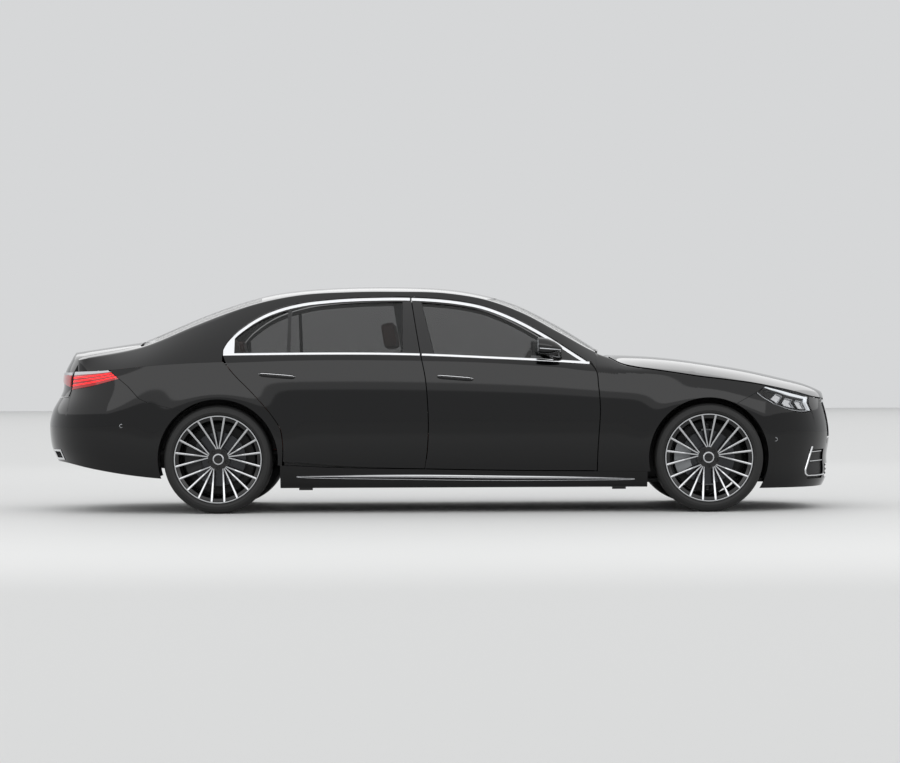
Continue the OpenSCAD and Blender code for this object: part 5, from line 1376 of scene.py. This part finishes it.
    def ribbon(self, made: MeshBuilder, path: Sequence[Sequence[float]], width: float, flip: bool) -> None:
        """Lay a bright strip on the nose along points given as stations and heights."""
        f = self.form
        way = np.array(path, float)
        run, _ = dense(np.concatenate([[0], np.cumsum(np.hypot(*np.diff(way, axis=0).T))]), 6)
        x, z = at_index(way[:, 0], run), at_index(way[:, 1], run)
        side = left_of(pairs(x, z))
        lanes = np.array([-1.0, -0.6, 0.6, 1.0]) * width / 2
        grid_x = x[:, None] + side[:, :1] * lanes
        grid_z = z[:, None] + side[:, 1:] * lanes
        s = f.nose_s_of_x(grid_x, grid_z)
        s = 2 - s if flip else s
        rise = (0.6, -3.0, -3.0, 0.6)
        skin = np.stack([self.both(f.nose_at, s[:, k], grid_z[:, k], rise[k]) for k in range(4)], 1)
        made.panel(skin, self.both(f.nose_at, s, grid_z, 13.0))

    def blades(self, made: MeshBuilder, flip: bool) -> None:
        """Bright hook and bars of one corner vent."""
        hook = ((2474, 419), (2440, 318), (2421, 264), (2424, 240), (2440, 227), (2500, 226), (2575, 229))
        self.ribbon(made, hook, 11.0, flip)
        for low, first, last in ((384, 2468, 2545), (322, 2452, 2552)):
            self.ribbon(made, ((first, low), (last, low + 4)), 7.0, flip)

    def headlamps(self) -> None:
        """Headlamps: clear lens, dark housing, bright brow and three lamp blocks."""
        f = self.form
        made = MeshBuilder()
        s = column(0.001, self.lamp_end - 0.001, 60)
        low = self.lamp_low(s) + f.seam
        top = np.full_like(s, 800.0)
        for _ in range(4):
            top = f.rail(f.nose_at(s, top)[..., 0]) - f.bonnet_drop - f.seam
        top = np.maximum(top, low + 4)
        t = row(0, 1, 16)
        z = lerp(low, top, t)
        self.layer(made, f.nose_at, s, z, 0.0, 3.0)
        self.layer(made, f.nose_at, s, z, 30.0, 70.0, 1)
        inset = slice(1, -1)
        for a, b, tone, depth in ((0.80, 0.92, 2, 8.0), (0.05, 0.10, 3, 12.0)):
            band = lerp(low, top, row(a, b, 4))[inset]
            self.layer(made, f.nose_at, s[inset], band, depth, self.lamp_back, tone)
        for first, last in ((0.15, 0.22), (0.25, 0.32), (0.35, 0.42)):
            e = column(first, last, 16)
            e_low = self.lamp_low(e) + f.seam
            e_top = np.interp(e, s[:, 0], top[:, 0])
            band = lerp(e_low, e_top, row(0.18, 0.64, 14))
            self.layer(made, f.nose_at, e, band, 20.0, self.lamp_back, 4)
            every, first_two, last_two = slice(None), slice(0, 2), slice(-2, None)
            for rows, cells in ((every, first_two), (every, last_two), (first_two, every), (last_two, every)):
                self.layer(made, f.nose_at, e[rows], band[rows, cells], 12.0, self.lamp_back, 3)
        e = column(self.lamp_end - 0.022, self.lamp_end - 0.01, 5)
        e_top = np.interp(e, s[:, 0], top[:, 0])
        band = lerp(self.lamp_low(e) + f.seam, e_top, row(0.06, 0.92, 16))
        self.layer(made, f.nose_at, e, band, 8.0, self.lamp_back, 2)
        piece = made.mirrored().build("headlamps_dressed", [LENS, DARK_PLASTIC, WHITE_BAR, SATIN, CHROME], 0.6)
        place(piece, "shell", ["headlamps"])

    def rear_bumper(self) -> None:
        """Rear bumper with the openings for the exhaust tips."""
        f = self.form
        stops = [0, 0.1, 0.2, self.tail_split, self.tail_split + 0.008, 0.58, 0.74, 1]
        s, cell = self.span(stops, self.tail_length)
        near = fold(s)
        joint = float(f.arch_point(f.rear_axle, np.array(f.rear_bumper_join))[1])
        top = np.where(near <= self.tail_split, self.tail_low(near) - f.seam, f.lid_foot - f.shut_gap)
        edge = [0, 0, 0, 560, joint, f.rear_tip, 729, 758, 837, 886]
        shares = [0, 0, 0, 0.25, 0.42, 0.56, 0.7, 0.82, 0.92, 1]
        z_rows = [self.rear_foot(near), np.full_like(near, 348.0), np.full_like(near, 418.0)]
        for k in range(3, 10):
            mix = 1.0 if k == 9 else np.minimum(1, near / self.corner)
            z_rows.append(lerp(edge[k], lerp(418.0, top, shares[k]), mix))
        w, w_cell = dense([231, 348, 418, 480, 540, 590, 640, 690, 740, 790], 14)
        z = self.heights(z_rows, w)
        hole = (cell == 5)[:, None] & (w_cell == 1)[None, :]
        made = MeshBuilder()
        self.layer(made, f.tail_at, s, z, 0.0, self.thickness, 0, ~hole, 1)
        for side in (1.0, -1.0):
            self.sensor(made, f.tail_at(f.tail_s_of_x(-2085.0, 578.0), 578.0), side)
        place(made.build("rear_bumper_skin", [PAINT, DARK_PLASTIC, SATIN], 2.0), "shell", ["rear_bumper"])
        self.tips()

    def tips(self) -> None:
        """Bright exhaust tips in the bumper's openings."""
        f = self.form
        stops = [0.584, 0.6, 0.72, 0.736]
        run, cell = dense([v * self.tail_length for v in stops], 16)
        s = at_index(stops, run)[:, None]
        rows = [348.6, 362, 404, 417.4]
        w, w_cell = dense(rows, 8)
        z = at_index(rows, w)[None, :]
        hole = (cell == 1)[:, None] & (w_cell == 1)[None, :]
        made = MeshBuilder()
        self.layer(made, f.tail_at, s, z, -4.0, 40.0, 0, ~hole)
        self.layer(made, f.tail_at, s, z, 41.0, 44.0, 1)
        place(made.mirrored().build("exhaust_tips_bright", [CHROME, DARK_PLASTIC], 1.5), "shell", ["exhaust_tips"])

    def tail_lamps(self) -> None:
        """Tail lamps on the body with their bright upper edge and lit bars."""
        f = self.form
        s = column(0.001, self.tail_split - 0.004, 60)
        low = self.tail_low(s) + f.seam
        top = f.shoulder(f.tail_at(s, np.full_like(s, 935.0))[..., 0]) - f.seam
        end = f.tail_s_of_y(f.lid_half + f.shut_gap, top)
        made = MeshBuilder()

        def band(first: float, last: float, out: float, deep: float, tone: int, count: int = 6) -> None:
            """Add one horizontal band of the lamp."""
            t = row(first, last, count)
            run = s * lerp(1.0, end / self.tail_split, t)
            z = lerp(low, top, t)
            self.layer(made, f.tail_at, run, z, out, deep, tone)

        band(0.0, 0.8, 0.0, 42.0, 0, 14)
        band(0.8, 0.99, -0.6, 42.0, 1)
        for a in (0.2, 0.42, 0.62):
            band(a, a + 0.07, -1.0, 6.0, 2, 3)
        place(made.mirrored().build("tail_lamps_dressed", [RED_LENS, SATIN, RED_GLOW], 0.6), "shell", ["tail_lamps"])

    def build(self) -> None:
        """Make both ends."""
        self.front_bumper()
        self.grille()
        self.headlamps()
        self.rear_bumper()
        self.tail_lamps()


@dataclass
class Cabin:
    """Seats as padded pieces; the rest of the cabin keeps its solids."""

    floor: float = 235.0
    seat_y: float = 380.0
    front_x: float = 60.0
    rear_x: float = -1100.0

    def pad(self, name: str, middle: Sequence[float], size: Sequence[float], tilt: float, crown: float,
            nodes: Sequence[str], channels: int = 0) -> None:
        """Add one crowned pad with sewn channels.

        Args:
            name: piece name.
            middle: centre of the pad.
            size: length, width and height before it is tilted.
            tilt: lean about the cross axis, in degrees.
            crown: how far its faces swell.
            nodes: nodes that it stands for.
            channels: sewn channels across its face.
        """
        a = row(-math.pi, math.pi, 72, endpoint=False)
        b = column(-math.pi / 2 + 0.02, math.pi / 2 - 0.02, 40)
        x = bend(np.cos(b), 0.28) * bend(np.cos(a), 0.32)
        z = bend(np.cos(b), 0.28) * bend(np.sin(a), 0.32)
        y = bend(np.sin(b), 0.28)
        half = np.array(size) / 2
        swell = 1 + crown * np.cos(x * 1.4) * np.cos(y * 1.4) - crown
        groove = 1 - (0.035 * np.abs(np.cos(math.pi * channels * (y + 1) / 2)) ** 14 if channels else 0)
        grid = points(x * half[0] * groove, y * half[1], z * half[2] * swell * groove)
        lean = math.radians(tilt)
        turned = points(grid[..., 0] * math.cos(lean) + grid[..., 2] * math.sin(lean), grid[..., 1],
                        -grid[..., 0] * math.sin(lean) + grid[..., 2] * math.cos(lean))
        made = MeshBuilder()
        made.loft(turned + np.array(middle))
        piece = made.build(name, [HIDE])
        place(piece, "shell", nodes)

    def build(self) -> None:
        """Make the seats and finish the solids of the cabin."""
        front, rear, floor = self.front_x, self.rear_x, self.floor
        pads = (("front", "cushion", (front + 62, self.seat_y, floor + 200), (545, 536, 200), -6, 0.1, 5),
                ("front", "back", (front - 285, self.seat_y, floor + 495), (150, 516, 680), -14, 0.08, 5),
                ("front", "headrest", (front - 395, self.seat_y, floor + 935), (92, 268, 172), -10, 0.08, 0),
                ("rear", "cushion", (rear + 168, 311.0, floor + 255), (460, 610, 176), -3, 0.1, 5),
                ("rear", "back", (rear - 205, 281.0, floor + 480), (170, 550, 590), -17, 0.08, 5),
                ("rear", "headrest", (rear - 288, self.seat_y, floor + 842), (82, 268, 130), -10, 0.08, 0))
        for name, side in SIDES.items():
            for end, part, (x, y, z), size, tilt, crown, channels in pads:
                self.pad(f"{end}_seat_{name}_{part}", (x, side * y, z), size, tilt, crown, [f"{end}_seats"], channels)
        dress("dashboard", DARK_HIDE)
        dress("steering_wheel", DARK_HIDE)


@dataclass
class RunningGear:
    """Wheels, tyres and axles keep their solids; the wheels get turned faces, a blank cap and bolts."""

    wheel_y: float = 828.0
    rim_edge: float = 116.0
    rim: float = 288.0
    seat: float = 266.0
    fans: int = 5

    def polar(self, r: float, angle: float) -> Array:
        """Place on the wheel at a radius, and degrees from its top."""
        a = math.radians(angle)
        return np.array([r * math.sin(a), r * math.cos(a)])

    def face(self, r: Array) -> Array:
        """Height of the spokes' front over the wheel's middle plane."""
        return np.interp(r, [50, 90, 160, 262, 279], [66, 68, 80, 108, 115.5])

    def spoke(self, made: MeshBuilder, inner: Array, outer: Array) -> None:
        """Turned face of one spoke."""
        t = column(0.05, 1, 12)
        lane = np.array([-1.0, -0.7, 0.7, 1.0])[None, :]
        way = (outer - inner) / np.linalg.norm(outer - inner)
        outer = outer + way * (self.rim - 8.0 - np.linalg.norm(outer))
        half = lerp(3.8, 6.4, t)
        x = lerp(inner[0], outer[0], t) - way[1] * lane * half
        z = lerp(inner[1], outer[1], t) + way[0] * lane * half
        y = self.face(np.hypot(x, z)) + np.where(np.abs(lane) < 1, 1.6, 0.4)
        out = points(x, y, z)
        made.panel(out, out - along(y=3.0))

    def ring(self, made: MeshBuilder, profile: Sequence[Sequence[float]], finish: int, sides: int = 96) -> None:
        """Revolve a closed profile of radius and height about the wheel's axis."""
        a = column(0, 2 * math.pi, sides, endpoint=False)
        shape = np.array(profile, float)
        grid = points(shape[None, :, 0] * np.cos(a), shape[None, :, 1] + 0 * a, shape[None, :, 0] * np.sin(a))
        made.loft(np.concatenate([grid, grid[:1]]), finish, False)

    def shield(self, end: str, axle: float, side_name: str) -> None:
        """Splash shield behind one brake disc, held by the knuckle or the axle."""
        made = MeshBuilder()
        self.ring(made, ((60.0, -98.0), (60.0, -95.0), (228.0, -92.0), (232.0, -86.0), (234.5, -86.0),
                         (230.0, -95.0)), 0, 72)
        if end == "rear":
            self.ring(made, ((229.0, -96.0), (231.0, -94.0), (226.0, -122.0), (256.0, -122.0), (256.0, -124.0),
                             (222.0, -124.0)), 0, 72)
        made.moved(along(axle, self.wheel_y, FORM.wheel_radius))
        piece = made.flipped(SIDES[side_name]).build(f"splash_shield_{end}_{side_name}", [SATIN_STEEL])
        place(piece, f"knuckle_{side_name}" if end == "front" else "shell", ())

    def wheel_faces(self, end: str, axle: float, side_name: str) -> None:
        """Bright faces of one wheel."""
        made = MeshBuilder()
        step = 360 / self.fans / 4
        for k in range(self.fans):
            middle = k * 360 / self.fans
            for s in (-1.5, -0.5, 0.5, 1.5):
                self.spoke(made, self.polar(58, middle + s * 4), self.polar(self.seat - 4, middle + s * step))
        edge = self.rim_edge
        self.ring(made, ((self.rim - 8.5, edge - 1), (self.rim - 7.5, edge + 1.0), (self.rim - 1, edge + 1.0),
                         (self.rim - 0.5, edge - 1)), 0)
        self.ring(made, ((28.0, 69.0), (28.5, 75.5), (33.0, 76.0), (36.5, 73.5), (37.0, 68.2)), 0, 64)
        self.ring(made, ((0.5, 69.0), (0.5, 74.6), (20.0, 74.0), (28.2, 72.6), (28.2, 69.0)), 1, 64)
        for k in range(5):
            x, z = self.polar(56.0, k * 72 + 36)
            made.rod((x, 44.0, z), (x, 58.0, z), 9.2, 2, 6)
        made.moved(along(axle, self.wheel_y, FORM.wheel_radius))
        self.shield(end, axle, side_name)
        body = f"{end}_wheel_{side_name}"
        piece = made.flipped(SIDES[side_name]).build(body + "_turned_faces", [TURNED, PIANO_BLACK, SATIN_STEEL])
        place(piece, body, ())

    def build(self) -> None:
        """Give each solid its finish and add the turned faces."""
        for end, axle in (("front", FORM.front_axle), ("rear", FORM.rear_axle)):
            casting = WheelCasting(f"black lacquered alloy, {end} axle", "#0B0B0C", roughness=0.2, axle=axle)
            for side in SIDES:
                dress(f"{end}_wheel_{side}", casting)
                dress(f"{end}_tyre_{side}", RUBBER)
                self.wheel_faces(end, axle, side)
        for side in SIDES:
            dress(f"knuckle_{side}", CAST)
        for node in ("front_axle", "rear_axle", "engine", "floor_pan", "bulkheads", "pillars"):
            dress(node, SATIN_STEEL)
        dress("wheel_liners", DARK_PLASTIC)


@dataclass
class Studio:
    """Pale floor, soft lamps and a camera at the photograph's angle."""

    distance: float = 20.95
    height: float = 0.9
    across: float = 0.071
    lens: float = 122.3
    rise: float = -0.0067
    roll: float = 0.24
    reach: float = 60.0

    def camera(self) -> None:
        """Long lens square to the car's right side."""
        data = bpy.data.cameras.new("camera")
        data.lens, data.sensor_width, data.shift_y = self.lens, 36.0, self.rise
        data.clip_end = 200.0
        made = bpy.data.objects.new("camera", data)
        bpy.context.scene.collection.objects.link(made)
        face = Matrix.Rotation(math.radians(90), 4, "X")
        made.matrix_world = (Matrix.Translation((self.across, -self.distance, self.height))
                             @ Matrix.Rotation(math.radians(self.roll), 4, "Y") @ face)
        bpy.context.scene.camera = made

    def floor(self) -> None:
        """Pale flat floor, far wider than the view."""
        mesh = bpy.data.meshes.new("floor")
        r = self.reach
        mesh.from_pydata([(-r, -r, 0), (r, -r, 0), (r, r, 0), (-r, r, 0)], [], [(0, 1, 2, 3)])
        mesh.materials.append(Finish("pale matt floor", "#DCDCDB", roughness=0.75).material())
        made = bpy.data.objects.new("floor", mesh)
        bpy.context.scene.collection.objects.link(made)

    def lamp(self, name: str, size: tuple[float, float], where: Sequence[float], at: Sequence[float],
             power: float) -> None:
        """Add one soft rectangular lamp."""
        data = bpy.data.lights.new(name, "AREA")
        data.shape, data.size, data.size_y, data.energy = "RECTANGLE", size[0], size[1], power
        made = bpy.data.objects.new(name, data)
        made.location = where
        made.rotation_euler = (Vector(at) - Vector(where)).to_track_quat("-Z", "Y").to_euler()
        bpy.context.scene.collection.objects.link(made)

    def world(self) -> None:
        """Even soft surround, shown as a pale backdrop."""
        world = bpy.data.worlds.new("studio")
        bpy.context.scene.world = world
        world.use_nodes = True
        tree = world.node_tree
        fill = tree.nodes["Background"]
        fill.inputs["Color"].default_value = linear("#C4C6C8")
        fill.inputs["Strength"].default_value = 0.7
        show = add_node(tree, "ShaderNodeBackground", {"Color": linear("#D6D7D8"), "Strength": 1.0}, {})
        path = add_node(tree, "ShaderNodeLightPath", {}, {})
        seen = path.outputs["Is Camera Ray"]
        for ray in ("Is Glossy Ray", "Is Transmission Ray"):
            either = add_node(tree, "ShaderNodeMath", {"operation": "MAXIMUM"}, {0: seen, 1: path.outputs[ray]})
            seen = either.outputs[0]
        mix = add_node(tree, "ShaderNodeMixShader", {}, {"Fac": seen, 1: fill.outputs[0], 2: show.outputs[0]})
        tree.links.new(mix.outputs[0], tree.nodes["World Output"].inputs["Surface"])

    def build(self) -> None:
        """Set up the studio."""
        bpy.context.scene.view_settings.view_transform = "Standard"
        self.floor()
        self.world()
        self.lamp("overhead", (120.0, 120.0), (0, 0, 13.0), (0, 0, 0.0), 25000)
        self.lamp("near side", (18.0, 2.0), (0, -6.8, 3.5), (0, 0, 0.7), 120)
        self.lamp("far side", (11.0, 3.0), (0, 9.5, 4.4), (0, 0, 0.9), 40)
        self.camera()


def main() -> None:
    """Build every sub-assembly."""
    logging.basicConfig(level=logging.INFO, format="%(message)s")
    FixedPanels().build()
    Lids().build()
    for side in SIDES:
        for plan in (FRONT_DOOR, REAR_DOOR):
            Door(plan, side).build()
    Ends().build()
    Cabin().build()
    RunningGear().build()
    Studio().build()
    bpy.context.view_layer.update()


if __name__ == "__main__":
    main()
